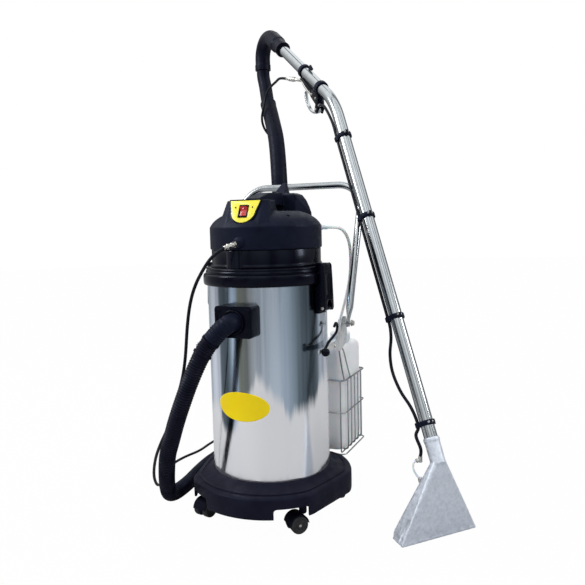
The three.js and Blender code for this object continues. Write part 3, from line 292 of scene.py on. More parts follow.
def sweep(points, radius, sides=20, bore=0.0, flat=None):
    """A round bar along the points. radius may be a list; bore makes it a pipe."""
    count = len(points)
    radii = radius if isinstance(radius, (list, tuple)) else [radius] * count
    axes = frames_along(points)
    verts, faces = [], []
    layers = [radii] if not bore else [radii, [bore] * count]
    for layer in layers:
        for (_, u, v), point, r in zip(axes, points, layer):
            for k in range(sides):
                angle = 2 * pi * k / sides
                squeeze = flat[len(verts) // sides % count] if flat else 1.0
                verts.append(point + u * (r * cos(angle)) + v * (r * squeeze * sin(angle)))
    for layer in range(len(layers)):
        base = layer * count * sides
        for i in range(count - 1):
            for k in range(sides):
                a, b = base + i * sides + k, base + i * sides + (k + 1) % sides
                quad = (a, b, b + sides, a + sides)
                faces.append(quad if layer == 0 else quad[::-1])
    last = (count - 1) * sides
    if not bore:
        faces.append(tuple(range(sides))[::-1])
        faces.append(tuple(range(last, last + sides)))
    else:
        inner = count * sides
        for k in range(sides):
            n = (k + 1) % sides
            faces.append((k, inner + k, inner + n, n))
            faces.append((last + k, last + n, inner + last + n, inner + last + k))
    return verts, faces


def lathe(profile, segments=96, centre=(0, 0, 0), turn=None):
    """A closed [radius, height] profile turned about z, then turned by a matrix and moved."""
    origin = Vector(centre)
    turn = turn or Matrix.Identity(3)
    verts, faces, rings = [], [], []
    for r, z in profile:
        if r < 1e-6:
            rings.append([len(verts)] * segments)
            verts.append(origin + turn @ Vector((0, 0, z)))
        else:
            rings.append(list(range(len(verts), len(verts) + segments)))
            for k in range(segments):
                angle = 2 * pi * k / segments
                verts.append(origin + turn @ Vector((r * cos(angle), r * sin(angle), z)))
    closed = profile[0][0] > 1e-6
    pairs = list(zip(rings, rings[1:])) + ([(rings[-1], rings[0])] if closed else [])
    for low, high in pairs:
        for k in range(segments):
            n = (k + 1) % segments
            quad = [low[k], low[n], high[n], high[k]]
            face = [q for i, q in enumerate(quad) if q not in quad[:i]]
            if len(face) > 2:
                faces.append(tuple(face))
    return verts, faces


def spun(start, end, profile, segments=32):
    """A profile of [radius, share of the way] turned about the line from start to end."""
    a, b = Vector(start), Vector(end)
    length = (b - a).length
    turn = (b - a).to_track_quat("Z", "Y").to_matrix()
    return lathe([(r, share * length) for r, share in profile], segments, a, turn)


def bar(start, end, radius, segments=32, ease=0.0):
    length = (Vector(end) - Vector(start)).length
    e = ease / length
    if ease:
        rows = [(0, 0), (radius - ease, 0), (radius, e), (radius, 1 - e), (radius - ease, 1), (0, 1)]
    else:
        rows = [(0, 0), (radius, 0), (radius, 1), (0, 1)]
    return spun(start, end, rows, segments)


def turns(count):
    """The angles of evenly spaced points of a circle."""
    return [2 * pi * k / count for k in range(count)]


def pairs(*corners):
    """Each corner on the left and on the right."""
    return [(side * x, y, z) for x, y, z in corners for side in (-1, 1)]


def block(low, high):
    (x0, y0, z0), (x1, y1, z1) = low, high
    verts = [Vector(p) for p in ((x0, y0, z0), (x1, y0, z0), (x1, y1, z0), (x0, y1, z0), (x0, y0, z1),
            (x1, y0, z1), (x1, y1, z1), (x0, y1, z1))]
    return verts, [(3, 2, 1, 0), (4, 5, 6, 7), (0, 1, 5, 4), (1, 2, 6, 5), (2, 3, 7, 6), (3, 0, 4, 7)]


def prism(outline, offset):
    """An outline of points in space, given a thickness by the offset vector."""
    n = len(outline)
    offset = Vector(offset)
    verts = [Vector(p) for p in outline] + [Vector(p) + offset for p in outline]
    faces = [tuple(range(n))[::-1], tuple(range(n, 2 * n))]
    faces += [(i, (i + 1) % n, n + (i + 1) % n, n + i) for i in range(n)]
    return verts, faces


def hull(points):
    made = bmesh.new()
    for p in points:
        made.verts.new(Vector(p))
    result = bmesh.ops.convex_hull(made, input=made.verts)
    junk = [g for g in result["geom_interior"] + result["geom_unused"]
            if isinstance(g, bmesh.types.BMVert)]
    bmesh.ops.delete(made, geom=list(set(junk)), context="VERTS")
    bmesh.ops.dissolve_limit(made, angle_limit=0.03, verts=made.verts, edges=made.edges)
    made.verts.index_update()
    verts = [v.co.copy() for v in made.verts]
    faces = [tuple(v.index for v in f.verts) for f in made.faces]
    made.free()
    return verts, faces


def together(*shapes):
    verts, faces = [], []
    for some_verts, some_faces in shapes:
        start = len(verts)
        verts += some_verts
        faces += [tuple(i + start for i in face) for face in some_faces]
    return verts, faces


def moved(shape, change):
    return [change(v) for v in shape[0]], shape[1]


def mirrored(shape):
    return [Vector((-v.x, v.y, v.z)) for v in shape[0]], [face[::-1] for face in shape[1]]


def rounded_outline(x0, x1, y0, y1, radius, steps=8):
    made = []
    corners = ((x1 - radius, y0 + radius, -90), (x1 - radius, y1 - radius, 0),
            (x0 + radius, y1 - radius, 90), (x0 + radius, y0 + radius, 180))
    for cx, cy, start in corners:
        for k in range(steps + 1):
            angle = radians(start + 90 * k / steps)
            made.append((cx + radius * cos(angle), cy + radius * sin(angle)))
    return made


# ---------- making a piece ----------
def face_outwards(mesh):
    made = bmesh.new()
    made.from_mesh(mesh)
    bmesh.ops.recalc_face_normals(made, faces=made.faces)
    made.to_mesh(mesh)
    made.free()


def piece(name, shape, look, nodes=(), body="machine", wand=False, bevel=0.0, sharp=38, remesh=0.0,
        cutters=(), smooth=0):
    verts, faces = shape
    change = (lambda p: metres(from_wand(p))) if wand else metres
    mesh = bpy.data.meshes.new(name)
    mesh.from_pydata([change(v) for v in verts], [], faces)
    made = add_object(name, mesh)
    face_outwards(mesh)
    if remesh:
        apply(made, "REMESH", mode="VOXEL", voxel_size=remesh * MM, adaptivity=0.0)
        apply(made, "SMOOTH", iterations=smooth or 3, factor=0.5)
    for cutter in cutters:
        tool = add_object("cutter", bpy.data.meshes.new("cutter"))
        tool.data.from_pydata([change(v) for v in cutter[0]], [], cutter[1])
        face_outwards(tool.data)
        apply(made, "BOOLEAN", operation="DIFFERENCE", object=tool, solver="EXACT")
        bpy.data.objects.remove(tool)
    if bevel:
        apply(made, "BEVEL", width=bevel * MM, segments=3, limit_method="ANGLE",
                angle_limit=radians(sharp - 4), harden_normals=False)
    made.data.shade_smooth()
    made.data.set_sharp_from_angle(angle=radians(sharp))
    made.data.materials.clear()
    looks = [look] if isinstance(look, str) else look
    for one in looks:
        made.data.materials.append(LOOKS[one])
    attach(made, body)
    if nodes:
        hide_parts(*([nodes] if isinstance(nodes, str) else nodes))
    return made


def apply(made, kind, **settings):
    modifier = made.modifiers.new(kind, kind)
    for key, value in settings.items():
        setattr(modifier, key, value)
    shown = bpy.context.evaluated_depsgraph_get()
    shown.update()
    result = bpy.data.meshes.new_from_object(made.evaluated_get(shown))
    made.modifiers.clear()
    old = made.data
    made.data = result
    bpy.data.meshes.remove(old)


# ---------- materials ----------
LOOKS = {}


class Look:
    """A principled material whose colour, roughness and bump come from noise in object space."""

    def __init__(self, name, slot, metallic=0.0, **constants):
        material = bpy.data.materials.new(name)
        material.use_nodes = True
        self.tree = material.node_tree
        self.shader = self.tree.nodes["Principled BSDF"]
        for key, value in {"Metallic": metallic, **constants}.items():
            self.shader.inputs[key.replace("_", " ")].default_value = value
        self.place = self.node("TexCoord").outputs["Object"]
        self.height = None
        LOOKS[name] = material

    def node(self, kind, inputs=None, **settings):
        return node(self.tree, kind, inputs, **settings)

    def feed(self, name, output):
        self.tree.links.new(output, self.shader.inputs[name])

    def noise(self, scale, detail=3.0, rough=0.5, stretch=(1, 1, 1), place=None):
        spread = self.node("Mapping", {"Vector": place or self.place, "Scale": stretch})
        return self.node("TexNoise", {"Vector": spread.outputs[0], "Scale": scale, "Detail": detail,
                "Roughness": rough}).outputs["Fac"]

    def from_axis(self):
        return self.node("Mapping", {"Vector": self.place, "Location": (-AXIS.x, -AXIS.y, 0)}).outputs[0]

    def around(self, scale, detail=2.0):
        """Noise that changes only with the angle round the drum's axis."""
        return self.noise(scale, detail, 0.5, (1, 1, 0.02), self.from_axis())

    def blend(self, factor, first, second, kind="MIX"):
        sockets = {0: factor, 6: first, 7: second}
        return self.node("Mix", sockets, data_type="RGBA", blend_type=kind).outputs[2]

    def math(self, kind, first, second):
        return self.node("Math", {0: first, 1: second}, operation=kind).outputs[0]

    def colour(self, factor, stops):
        self.feed("Base Color", ramp_of(self.tree, factor, stops))

    def roughness(self, factor, low, high):
        self.feed("Roughness", self.node("MapRange", {"Value": factor, "From Min": 0.3, "From Max": 0.7,
                "To Min": low, "To Max": high}).outputs[0])

    def bump(self, factor, strength, distance):
        under = {"Normal": self.height} if self.height else {}
        self.height = self.node("Bump", {"Height": factor, "Strength": strength,
                "Distance": distance * MM, **under}).outputs[0]
        self.feed("Normal", self.height)


def add_look(name, slot, grain, stops, gloss, *bumps, metallic=0.0, **constants):
    """grain: the colour's noise. stops: its two end colours, or a ramp. gloss: noise, then low and high
    roughness. Each bump: noise, strength and millimetres."""
    look = Look(name, slot, metallic, **constants)
    look.colour(look.noise(*grain), list(zip((0.3, 0.7), stops)) if len(stops) == 2 else stops)
    look.roughness(look.noise(*gloss[0]), *gloss[1:])
    for noise, strength, depth in bumps:
        look.bump(look.noise(*noise), strength, depth)


def slate(value):
    return (value * 0.66, value * 0.84, value)


# painted reflection bands: the polished drum's tones by direction round its axis
DRUM_PAINTED_REFLECTIONS = [(0.0, slate(0.6)), (0.1, slate(0.9)), (0.155, (0.86, 0.89, 1.0)),
        (0.172, (0.68, 0.74, 0.86)), (0.181, slate(0.16)), (0.205, slate(0.18)), (0.213, slate(0.4)),
        (0.225, (0.62, 0.76, 0.95)), (0.236, (0.52, 0.66, 0.84)), (0.243, (0.25, 0.27, 0.23)),
        (0.266, (0.2, 0.22, 0.22)), (0.278, (0.44, 0.47, 0.5)), (0.295, (0.66, 0.74, 0.84)),
        (0.345, (0.62, 0.71, 0.82)), (0.365, (0.5, 0.6, 0.72)), (0.385, slate(0.46)),
        (0.41, slate(0.24)), (0.445, slate(0.12)), (0.462, slate(0.22)), (0.476, (0.66, 0.73, 0.86)),
        (0.5, (0.86, 0.9, 1.0)), (0.62, slate(0.8)), (0.75, slate(0.5)), (0.85, slate(0.8)),
        (1.0, slate(0.6))]
# height in metres where the painted reflections end and the drum turns pale, same directions
DRUM_PAINTED_HORIZON = [(0.0, grey(0.3)), (0.165, grey(0.34)), (0.18, grey(0.28)), (0.21, grey(0.26)),
        (0.235, grey(0.31)), (0.26, grey(0.37)), (0.29, grey(0.43)), (0.31, grey(0.41)),
        (0.35, grey(0.36)), (0.375, grey(0.33)), (0.4, grey(0.33)), (0.43, grey(0.35)),
        (0.46, grey(0.36)), (0.48, grey(0.42)), (1.0, grey(0.3))]


def add_drum_look():
    steel = Look("drum_steel", "polished_steel", metallic=1.0)
    bearing, height = compass(steel.tree, steel.from_axis())
    # painted reflections: light and dark bands by direction round the drum, with fine streaks multiplied
    # in
    painted_reflection_bands = ramp_of(steel.tree, bearing, DRUM_PAINTED_REFLECTIONS)
    fine = ramp_of(steel.tree, steel.around(26.0, 3),
            [(0.38, grey(0.6, 0.05)), (0.5, grey(0.94, 0.02)), (0.6, grey(1.0))])
    painted_reflection_tone = steel.blend(1.0, painted_reflection_bands, fine, "MULTIPLY")
    pale = ramp_of(steel.tree, steel.around(6.0), [(0.3, (0.93, 0.93, 0.97)), (0.7, (1.0, 0.99, 1.0))])
    # painted horizon: painted reflection bands above it, pale steel below it, its edge made ragged by
    # noise
    ragged = steel.math("MULTIPLY", steel.around(70.0, 3), 0.09)
    above = steel.math("SUBTRACT", steel.math("ADD", height, ragged),
            ramp_of(steel.tree, bearing, DRUM_PAINTED_HORIZON))
    step = steel.node("MapRange", {"Value": above, "From Min": 0.07, "From Max": 0.02},
            interpolation_type="SMOOTHSTEP")
    steel.feed("Base Color", steel.blend(step.outputs[0], painted_reflection_tone, pale))
    steel.roughness(steel.noise(70, 2, 0.6, (1, 1, 0.03)), 0.1, 0.24)
    steel.bump(steel.noise(500, 2, 0.5, (1, 1, 0.01)), 0.12, 0.05)
    steel.bump(steel.noise(5, 1, 0.4), 0.1, 2.0)


def add_looks():
    add_drum_look()
    for name, slot, value in (("chrome_tube", "chrome", 0.46), ("chrome_wire", "chrome_wire", 0.42),
            ("chrome_bright", "chrome", 0.5)):
        add_look(name, slot, (60, 3), (grey(value * 0.9, 0.1), grey(value, 0.08)),
                ((180, 3), 0.11, 0.19), metallic=1.0)
    add_look("nickel", "nickel", (220, 3), ((0.42, 0.41, 0.38), (0.66, 0.65, 0.62)),
            ((400, 3), 0.18, 0.36), ((1500, 2), 0.08, 0.04), metallic=1.0)
    add_look("zinc_plate", "zinc_plate", (45, 4, 0.6), (grey(0.6, 0.05), grey(0.86, 0.02)),
            ((160, 3), 0.25, 0.42), ((800, 2), 0.06, 0.05), metallic=0.9)
    add_look("cast_aluminium", "cast_aluminium", (90, 6, 0.75), [(0.3, (0.56, 0.6, 0.67)),
            (0.48, (0.68, 0.73, 0.81)), (0.6, (0.76, 0.8, 0.88)), (0.75, (0.84, 0.87, 0.93))],
            ((90, 4, 0.6), 0.34, 0.62), ((160, 4, 0.65), 0.35, 0.5), ((900, 2), 0.25, 0.12),
            metallic=0.75)
    blacks = (
        ("matt_black", "black_plastic", (26, 4), ((0.003, 0.004, 0.011), (0.006, 0.008, 0.02)),
         ((55, 3), 0.4, 0.55), ((1100, 2), 0.16, 0.12), 0.13, (0.6, 0.7)),  # hood and fittings
        ("base_black", "black_plastic", (22, 4), ((0.004, 0.004, 0.011), (0.008, 0.008, 0.018)),
         ((40, 3), 0.42, 0.6), ((850, 2), 0.22, 0.14), 0.12, (0.65, 0.7)),
        ("gloss_black", "gloss_plastic", (24, 3), ((0.001, 0.001, 0.004), (0.003, 0.003, 0.008)),
         ((70, 3), 0.13, 0.24), ((260, 2), 0.04, 0.1), 0.13, (0.65, 0.75)),
        ("hose_rubber", "rubber", (32, 4), ((0.002, 0.002, 0.007), (0.006, 0.006, 0.014)),
         ((90, 3), 0.32, 0.52), ((700, 2), 0.12, 0.1), 0.11, (0.65, 0.75)),
        ("thin_hose", "rubber", (40, 3), ((0.004, 0.004, 0.007), (0.01, 0.01, 0.015)),
         ((120, 3), 0.3, 0.45), ((1400, 2), 0.1, 0.06), 0.16, (0.7, 0.8)))
    for *row, shine, tint in blacks:
        add_look(*row, Specular_IOR_Level=shine, Specular_Tint=(*tint, 1.0, 1.0))
    add_look("caster_tyre", "tyre", (60, 4), [(0.3, (0.012, 0.012, 0.013)), (0.75, (0.04, 0.04, 0.042)),
            (1.0, (0.04, 0.04, 0.042))], ((120, 3), 0.4, 0.65), ((900, 3), 0.2, 0.12),
            Specular_IOR_Level=0.35)
    add_look("milky_plastic", "white_plastic", (14, 3), ((0.87, 0.9, 0.94), (0.95, 0.96, 0.98)),
            ((60, 3), 0.32, 0.48), ((120, 2), 0.08, 0.5), Subsurface_Weight=0.35, Subsurface_Scale=0.02,
            Transmission_Weight=0.12)
    add_look("yellow_print", "yellow_label", (50, 3), ((0.82, 0.72, 0.004), (0.86, 0.77, 0.008)),
            ((120, 2), 0.3, 0.42), ((600, 2), 0.05, 0.05), Coat_Weight=0.4, Coat_Roughness=0.15)
    add_look("badge_print", "yellow_label", (30, 2), ((0.99, 0.71, 0.002), (1.0, 0.76, 0.003)),
            ((120, 2), 0.35, 0.45), Specular_IOR_Level=0.25)
    add_look("red_rocker", "red_plastic", (120, 3), ((0.42, 0.008, 0.01), (0.62, 0.02, 0.02)),
            ((200, 2), 0.15, 0.28), ((900, 2), 0.04, 0.05), Coat_Weight=0.5, Coat_Roughness=0.1)
    add_look("float_white", "float", (40, 3), ((0.74, 0.74, 0.7), (0.84, 0.84, 0.8)),
            ((80, 2), 0.3, 0.45))
    add_look("motor_can", "motor_can", (60, 3), (grey(0.3, 0.04), grey(0.45, 0.02)),
            ((150, 3), 0.35, 0.5), metallic=0.8)


# ---------- cords ----------
HOSE_R = 24.0
THIN_R = 4.6
CORRUGATION = 7.4
ELBOW_LENGTH = 74
CUFF_LENGTH = 44
JOINT_GAP = 1.5
SLEEVE_R = 30.0
SLEEVE_END = 150
SLEEVE_LENGTH = 520
HOSE_RUN = [(0, -230, 594), (-5, -241, 591), (-22, -249, 576), (-40, -252, 556), (-50, -253, 545),
        (-62, -258, 527), (-73, -264, 507), (-84, -268, 484), (-107, -275, 432), (-128, -279, 380),
        (-151, -278, 325), (-178, -267, 265), (-206, -247, 214), (-236, -213, 150), (-268, -168, 84),
        (-290, -126, 42), (-299, -84, 26.5), (-301, -40, 25), (-307, 12, 25), (-325, 107, 25),
        (-336, 204, 25), (-333, 300, 25), (-310, 400, 26), (-285, 455, 40), (-255, 492, 95),
        (-230, 507, 180), (-205, 512, 320), (-190, 512, 500), (-181, 506, 760), (-184, 505, 998),
        (-219, 560, 1173), (-258, 610, 1258), (-297, 660, 1333), (-322, 692, 1405),
        (-334.6, 702.6, 1446), (-335.6, 703.3, 1468)]
SOCKET_DIR = Vector((-0.455, -0.857, -0.242)).normalized()
SOCKET_AT = Vector((-3.5, -156.4, 804.5))
SPIGOT_TURN = radians(34)
COUPLER_SEAT = upper_at(179, 36)
COUPLER_DIR = Vector((-0.343, 0.91, 0.233)).normalized()
COUPLER_LENGTH = 74
NECK = (118, 300)


def along_socket(distance):
    return SOCKET_AT + SOCKET_DIR * distance


def along_spigot(radius):
    return Vector((radius * cos(SPIGOT_TURN), radius * sin(SPIGOT_TURN), 840))


def along_coupler(distance):
    return COUPLER_SEAT + COUPLER_DIR * distance


SOLUTION_RUN = [along_socket(44.3), along_socket(56), (-59, -213, 770), (-80, -219, 741),
        (-106, -225, 696), (-125, -226, 645), (-137, -228, 575), (-141, -230, 528), (-148, -228, 485),
        (-161, -222, 440), (-202, -205, 347), (-249, -180, 267), (-290, -160, 211), (-342, -122, 138),
        (-379, -82, 64), (-393, -50, 24), (-404, -22, 11), (-420, 20, 6.5), (-462, 110, 6),
        (-480, 185, 6), (-476, 250, 6), (-462, 318, 6), (-466, 400, 6), (-462, 470, 6), (-440, 540, 6),
        (-395, 590, 6), (-330, 618, 8), (-268, 610, 24), (-232, 585, 80), (-222, 565, 160),
        (-219, 556, 320), (-205, 554, 500), (-196, 548, 760), (-199, 547, 998), (-211, 562, 1060),
        (-227, 586, 1130), (-240, 604, 1172), (-283, 602, 1215), (-296, 596, 1262), (-284, 592, 1301),
        (-279, 600, 1337), (-253, 585, 1373), (-214, 560, 1386),
        from_wand(along_coupler(COUPLER_LENGTH + 34)), from_wand(along_coupler(COUPLER_LENGTH + 14)),
        from_wand(along_coupler(COUPLER_LENGTH + 0.8))]
SUCTION_RUN = [along_spigot(186.3), along_spigot(200), (182, 138, 836), (189, 166, 820), (190, 196, 790),
        (184, 226, 740), (170, 256, 680), (150, 282, 620), (130, 297, 565), (*NECK, 525), (*NECK, 502.6)]


def hose_line():
    return relaxed(even(catmull(HOSE_RUN, 4), 1.5), 60)


def portion(line, start, end):
    """The part of an evenly sampled line between two distances along it."""
    step = length_of(line) / (len(line) - 1)
    return line[round(start / step):round(end / step) + 1]


def ribbed(line, pitch, depth, radius=HOSE_R, ease=30):
    """Radii that rise and fall with every pitch; the ends are plain."""
    step = length_of(line) / (len(line) - 1)
    made = []
    total = length_of(line)
    for i in range(len(line)):
        at = i * step
        wave = 0.5 - 0.5 * cos(2 * pi * at / pitch)
        fade = min(1, at / ease, (total - at) / ease)
        made.append(radius - depth * (1 - wave ** 0.6) * fade)
    return made


def curve_piece(name, line, radius, look, nodes):
    data = bpy.data.curves.new(name, "CURVE")
    data.dimensions = "3D"
    spline = data.splines.new("POLY")
    spline.points.add(len(line) - 1)
    for point, place in zip(spline.points, line):
        point.co = (*metres(place), 1)
    spline.use_smooth = True
    data.bevel_depth = radius * MM
    data.bevel_resolution = 5
    data.use_fill_caps = True
    data.materials.append(LOOKS[look])
    made = add_object(name, data)
    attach(made, "machine")
    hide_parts(nodes)
    return made


def add_vacuum_hose():
    run = hose_line()
    start = ELBOW_LENGTH + CUFF_LENGTH + 2 * JOINT_GAP
    line = portion(run, start, length_of(run))
    radii = ribbed(line, CORRUGATION, 2.6)
    step = length_of(line) / (len(line) - 1)
    sleeve_end = length_of(line) - SLEEVE_END
    sleeve_start = sleeve_end - SLEEVE_LENGTH
    for i in range(len(radii)):
        near = min(i * step - sleeve_start, sleeve_end - i * step)
        if near > 0:
            radii[i] = SLEEVE_R - 1.2 * max(0, 1 - near / 4) + 0.8 * (4 < near < 12)
        elif i * step > sleeve_end:
            radii[i] = HOSE_R + 1.5
    hose = piece("hose_corrugated", sweep(line, radii, 26, bore=20.5), "hose_rubber", "vacuum_hose")
    cuff = portion(run, ELBOW_LENGTH + JOINT_GAP, start - JOINT_GAP)
    cuff_radii = [r + (1.8 if i < 5 or i > len(cuff) - 5 else 0)
            for i, r in enumerate(ribbed(cuff, CORRUGATION, 2.2, 25, 6))]
    cuff_piece = piece("hose_end_cuff", sweep(cuff, cuff_radii, 40, bore=21), "hose_rubber", "hose_cuff",
            sharp=30)
    return length_of(line)


def add_thin_hoses():
    run = relaxed(even(catmull(SOLUTION_RUN, 4), 4), 30)
    hose = curve_piece("solution_hose_line", run, THIN_R, "thin_hose", "solution_hose")
    plug = piece("solution_plug_body", together(bar(along_socket(30.3), along_socket(44), 7.5, ease=0.8),
            bar(along_socket(33), along_socket(41), 8.6, 6),
            bar(along_socket(38), along_socket(54), 6.2, ease=1)), "nickel", "solution_plug", sharp=30)
    coupler = piece("coupler_body", together(
            bar(along_coupler(0), along_coupler(COUPLER_LENGTH), 5.4, ease=0.6),
            bar(along_coupler(3), along_coupler(14), 7, 6),
            bar(along_coupler(30), along_coupler(60), 8, ease=1.2),
            bar(along_coupler(38), along_coupler(42), 8.8, ease=0.8),
            bar(along_coupler(64), along_coupler(73), 6.6, 6)), "nickel", "hose_coupler", wand=True,
            sharp=30)
    line = relaxed(even(catmull(SUCTION_RUN, 3), 3), 20)
    suction = curve_piece("suction_hose_line", line, THIN_R, "milky_plastic", "suction_tube")
    return length_of(run), length_of(line)


# ---------- base and casters ----------
def base_radius(turn):
    """The base outline, a circle with three flats. turn is in degrees from the front."""
    reach = 240.0
    for facing, distance in ((75.5, 220.1), (-75.5, 220.1), (180, 187.0)):
        part = cos(radians(turn - facing))
        if part > 0.05:
            reach = min(reach, distance / part)
    return reach


def base_ring(inset, height, count=240):
    made = []
    for k in range(count):
        turn = 360 * k / count
        wide = [base_radius(turn + step) for step in (-3, -1.5, 0, 1.5, 3)]
        reach = sum(wide) / len(wide) - inset
        angle = radians(turn - 90)
        made.append(Vector((reach * cos(angle), reach * sin(angle), height)))
    return made


def blended(ring_low, ring_high, share, height):
    return [Vector((*a.lerp(b, share).xy, height)) for a, b in zip(ring_low, ring_high)]


def skin(rings):
    count = len(rings[0])
    verts = [v for ring in rings for v in ring]
    faces = []
    for i in range(len(rings) - 1):
        for k in range(count):
            n = (k + 1) % count
            faces.append((i * count + k, i * count + n, (i + 1) * count + n, (i + 1) * count + k))
    faces.append(tuple(range(count)))
    faces.append(tuple(range((len(rings) - 1) * count, len(rings) * count))[::-1])
    return verts, faces


CASTERS = (("front_left", -150, -122, -12), ("front_right", 150, -122, -42),
        ("rear_left", -150, 122, -70), ("rear_right", 150, 122, 40))


def add_base():
    outer = base_ring(0, 118)
    count = len(outer)
    seat = [Vector((176.2 * cos(a), 176.2 * sin(a), 138))
            for a in (radians(360 * k / count - 90) for k in range(count))]
    shrunk = lambda share, height: [Vector((v.x * share, v.y * share, height)) for v in seat]
    rings = [shrunk(0.2, 121), base_ring(12, 108), base_ring(9.5, 104), base_ring(9, 62),
            base_ring(8, 58.5), base_ring(3, 58), base_ring(1.2, 59), base_ring(0.4, 62)]
    rings += [base_ring(0, 80), base_ring(0, 100), base_ring(0.2, 111), base_ring(1.4, 114.6),
            base_ring(4, 117)]
    slope = ((0.9, 118.6), (0.84, 119.6), (0.8, 120.2), (0.79, 122.8), (0.75, 124), (0.71, 123.4),
            (0.7, 122), (0.5, 125), (0.3, 129), (0.12, 134), (0.05, 137), (0.0, 138))
    rings += [blended(seat, base_ring(6, 118), share, height) for share, height in slope]
    rings += [shrunk(0.985, 136), shrunk(0.98, 128), shrunk(0.2, 127.6)]
    notches = []
    for _, x, y, _ in CASTERS:
        turn = atan2(y, x) - pi / 2 + radians(copysign(13, x) * (-1 if y < 0 else 1))
        outline = rounded_outline(-50, 50, 30, 88, 9)
        spin = Matrix.Rotation(turn, 3, "Z")
        notches.append(prism([spin @ Vector((u, 205, v)) for u, v in outline],
                spin @ Vector((0, 60, 0))))
    piece("base_moulding", skin(rings), "base_black", "base_chassis", cutters=notches, sharp=32)


def fork_shape():
    trail, radius = 20, 25
    hood = []
    for r, angles in ((radius + 4, range(5, 176, 10)), (radius + 1.6, range(175, 4, -10))):
        hood += [(r * cos(radians(a)), r * sin(radians(a))) for a in angles]
    web = [((radius + 3.5) * cos(radians(a)), (radius + 3.5) * sin(radians(a)))
            for a in range(-20, 201, 10)] + [(-9, -10), (9, -10)]
    made = []
    for outline, half in ((hood, 23.5), (web, 5.7)):
        made.append(prism([(-half, u - trail, v + radius) for u, v in outline], (2 * half, 0, 0)))
    made.append(spun((0, 0, radius + 24), (0, 0, 91),
            [(0, 0), (9, 0), (11, 0.1), (11, 0.9), (10, 1), (0, 1)], 28))
    made.append(bar((0, 0, 88), (0, 0, 113.5), 5.4, 20))
    return together(*made)


def wheel_shape():
    half = [(4, 6.5), (20, 6.5), (23.4, 6.9), (24.6, 8), (25, 10), (25, 21), (24.5, 23.4), (23, 25),
            (20.5, 25.5), (19.6, 24.6), (19, 23.4), (11, 22.4), (9.4, 23.6), (8.8, 25), (7, 25.5),
            (4.6, 25.5), (4.2, 24.8), (3.9, 25.4), (2.5, 25.5), (0, 25.5)]
    profile = [(r, -z) for r, z in half[::-1]] + half
    turn = Matrix.Rotation(pi / 2, 3, "Y")
    return lathe(profile, 64, (0, -20, 25), turn)


def add_casters():
    for label, x, y, turn in CASTERS:
        spin = Matrix.Rotation(radians(turn), 3, "Z")
        change = lambda p, spin=spin, x=x, y=y: spin @ p + Vector((x, y, 0))
        piece(f"caster_hood_{label}", moved(fork_shape(), change), "base_black", f"caster_fork_{label}",
                f"caster_{label}", bevel=0.5)
        wheels = piece(f"caster_twin_wheel_{label}", moved(wheel_shape(), change),
                ["caster_tyre", "nickel"], f"caster_wheels_{label}", f"wheels_{label}", sharp=30)
        hub = metres(change(Vector((0, -20, 25))))
        side = (spin @ Vector((1, 0, 0))).normalized()
        for face in wheels.data.polygons:
            away = face.center - hub
            radial = (away - side * away.dot(side)).length
            if radial < 4.3 * MM and abs(away.dot(side)) > 20 * MM:
                face.material_index = 1


# ---------- drum ----------
INLET_Z = 594


def add_drum():
    wall = DRUM_R - 1.5
    profile = [(0, 128.4), (168, 128.4), (172, 129.4), (174.4, 132), (175, 136), (175, 143), (175, 705),
            (wall, 705)]
    profile += [(wall, 137), (wall - 3, 132), (wall - 7, 130.4), (0, 130.4)]
    steps = [(DRUM_R, 145 + 535 * k / 24) for k in range(25)]
    piece("drum_polished", lathe(profile[:6] + steps + profile[6:], 160), "drum_steel", "drum_shell",
            sharp=30)
    band = [(175.3, 683.2), (182, 683), (184.6, 684), (186, 686.6), (186.8, 691), (187, 698),
            (186.9, 705), (186.2, 710.4), (184.6, 714), (182, 715.6), (179, 716), (170, 716),
            (170, 705.4), (175.3, 705.4)]
    piece("drum_rim_seal", lathe(band, 160), "gloss_black", "drum_rim_band", sharp=50)


def curved_back(outline, front_y, gap=0.4):
    """A block with a flat front whose back follows the drum."""
    front = [Vector((x, front_y, z)) for x, z in outline]
    back = [Vector((x, -sqrt((DRUM_R + gap) ** 2 - x * x), z)) for x, z in outline]
    n = len(outline)
    faces = [tuple(range(n)), tuple(range(n, 2 * n))[::-1]]
    faces += [(i, n + i, n + (i + 1) % n, (i + 1) % n) for i in range(n)]
    return front + back, faces


def add_inlet():
    outline = rounded_outline(-56, 56, 551, 637, 9, 6)
    collar = spun((0, -214, INLET_Z), (0, -222, INLET_Z),
            [(28.2, 0), (33.4, 0), (33.4, 0.7), (32.4, 1), (28.2, 1)], 56)
    seat = bar((0, -240, INLET_Z), (0, -203, INLET_Z), 28.2, 56)
    ribs = [curved_back(rounded_outline(x - 2, x + 2, 558, 630, 1.5, 3), -217.6) for x in (-50, 50)]
    screws = [spun((x, -214, z), (x, -218.2, z),
            [(0, 0), (5.4, 0), (5.4, 0.8), (4.6, 1), (2.2, 1), (2, 0.6), (0, 0.6)], 24)
            for x in (-43, 43) for z in (563, 625)]
    piece("inlet_housing", curved_back(outline, -216), "gloss_black", "inlet_block", cutters=[seat],
            bevel=3.0)
    piece("inlet_trim", together(collar, *ribs), "gloss_black", bevel=0.8)
    piece("inlet_screws", together(*screws), "gloss_black", sharp=30)
    run = hose_line()
    neck = [Vector((0, y, INLET_Z)) for y in (-203, -209, -216, -223)] + portion(run, 0, ELBOW_LENGTH)
    neck = relaxed(even(neck, 2.0), 30)
    radii = []
    for i in range(len(neck)):
        left = (len(neck) - 1 - i) * 2.0
        rib = 25.6 - 1.6 * (cos(pi * left / CORRUGATION) ** 2) ** 0.7
        radii.append(27.2 if i < 9 else 25.4 if i < 20 else rib)
    piece("inlet_swivel", sweep(neck, radii, 44, bore=20), "matt_black", "inlet_elbow", sharp=30)


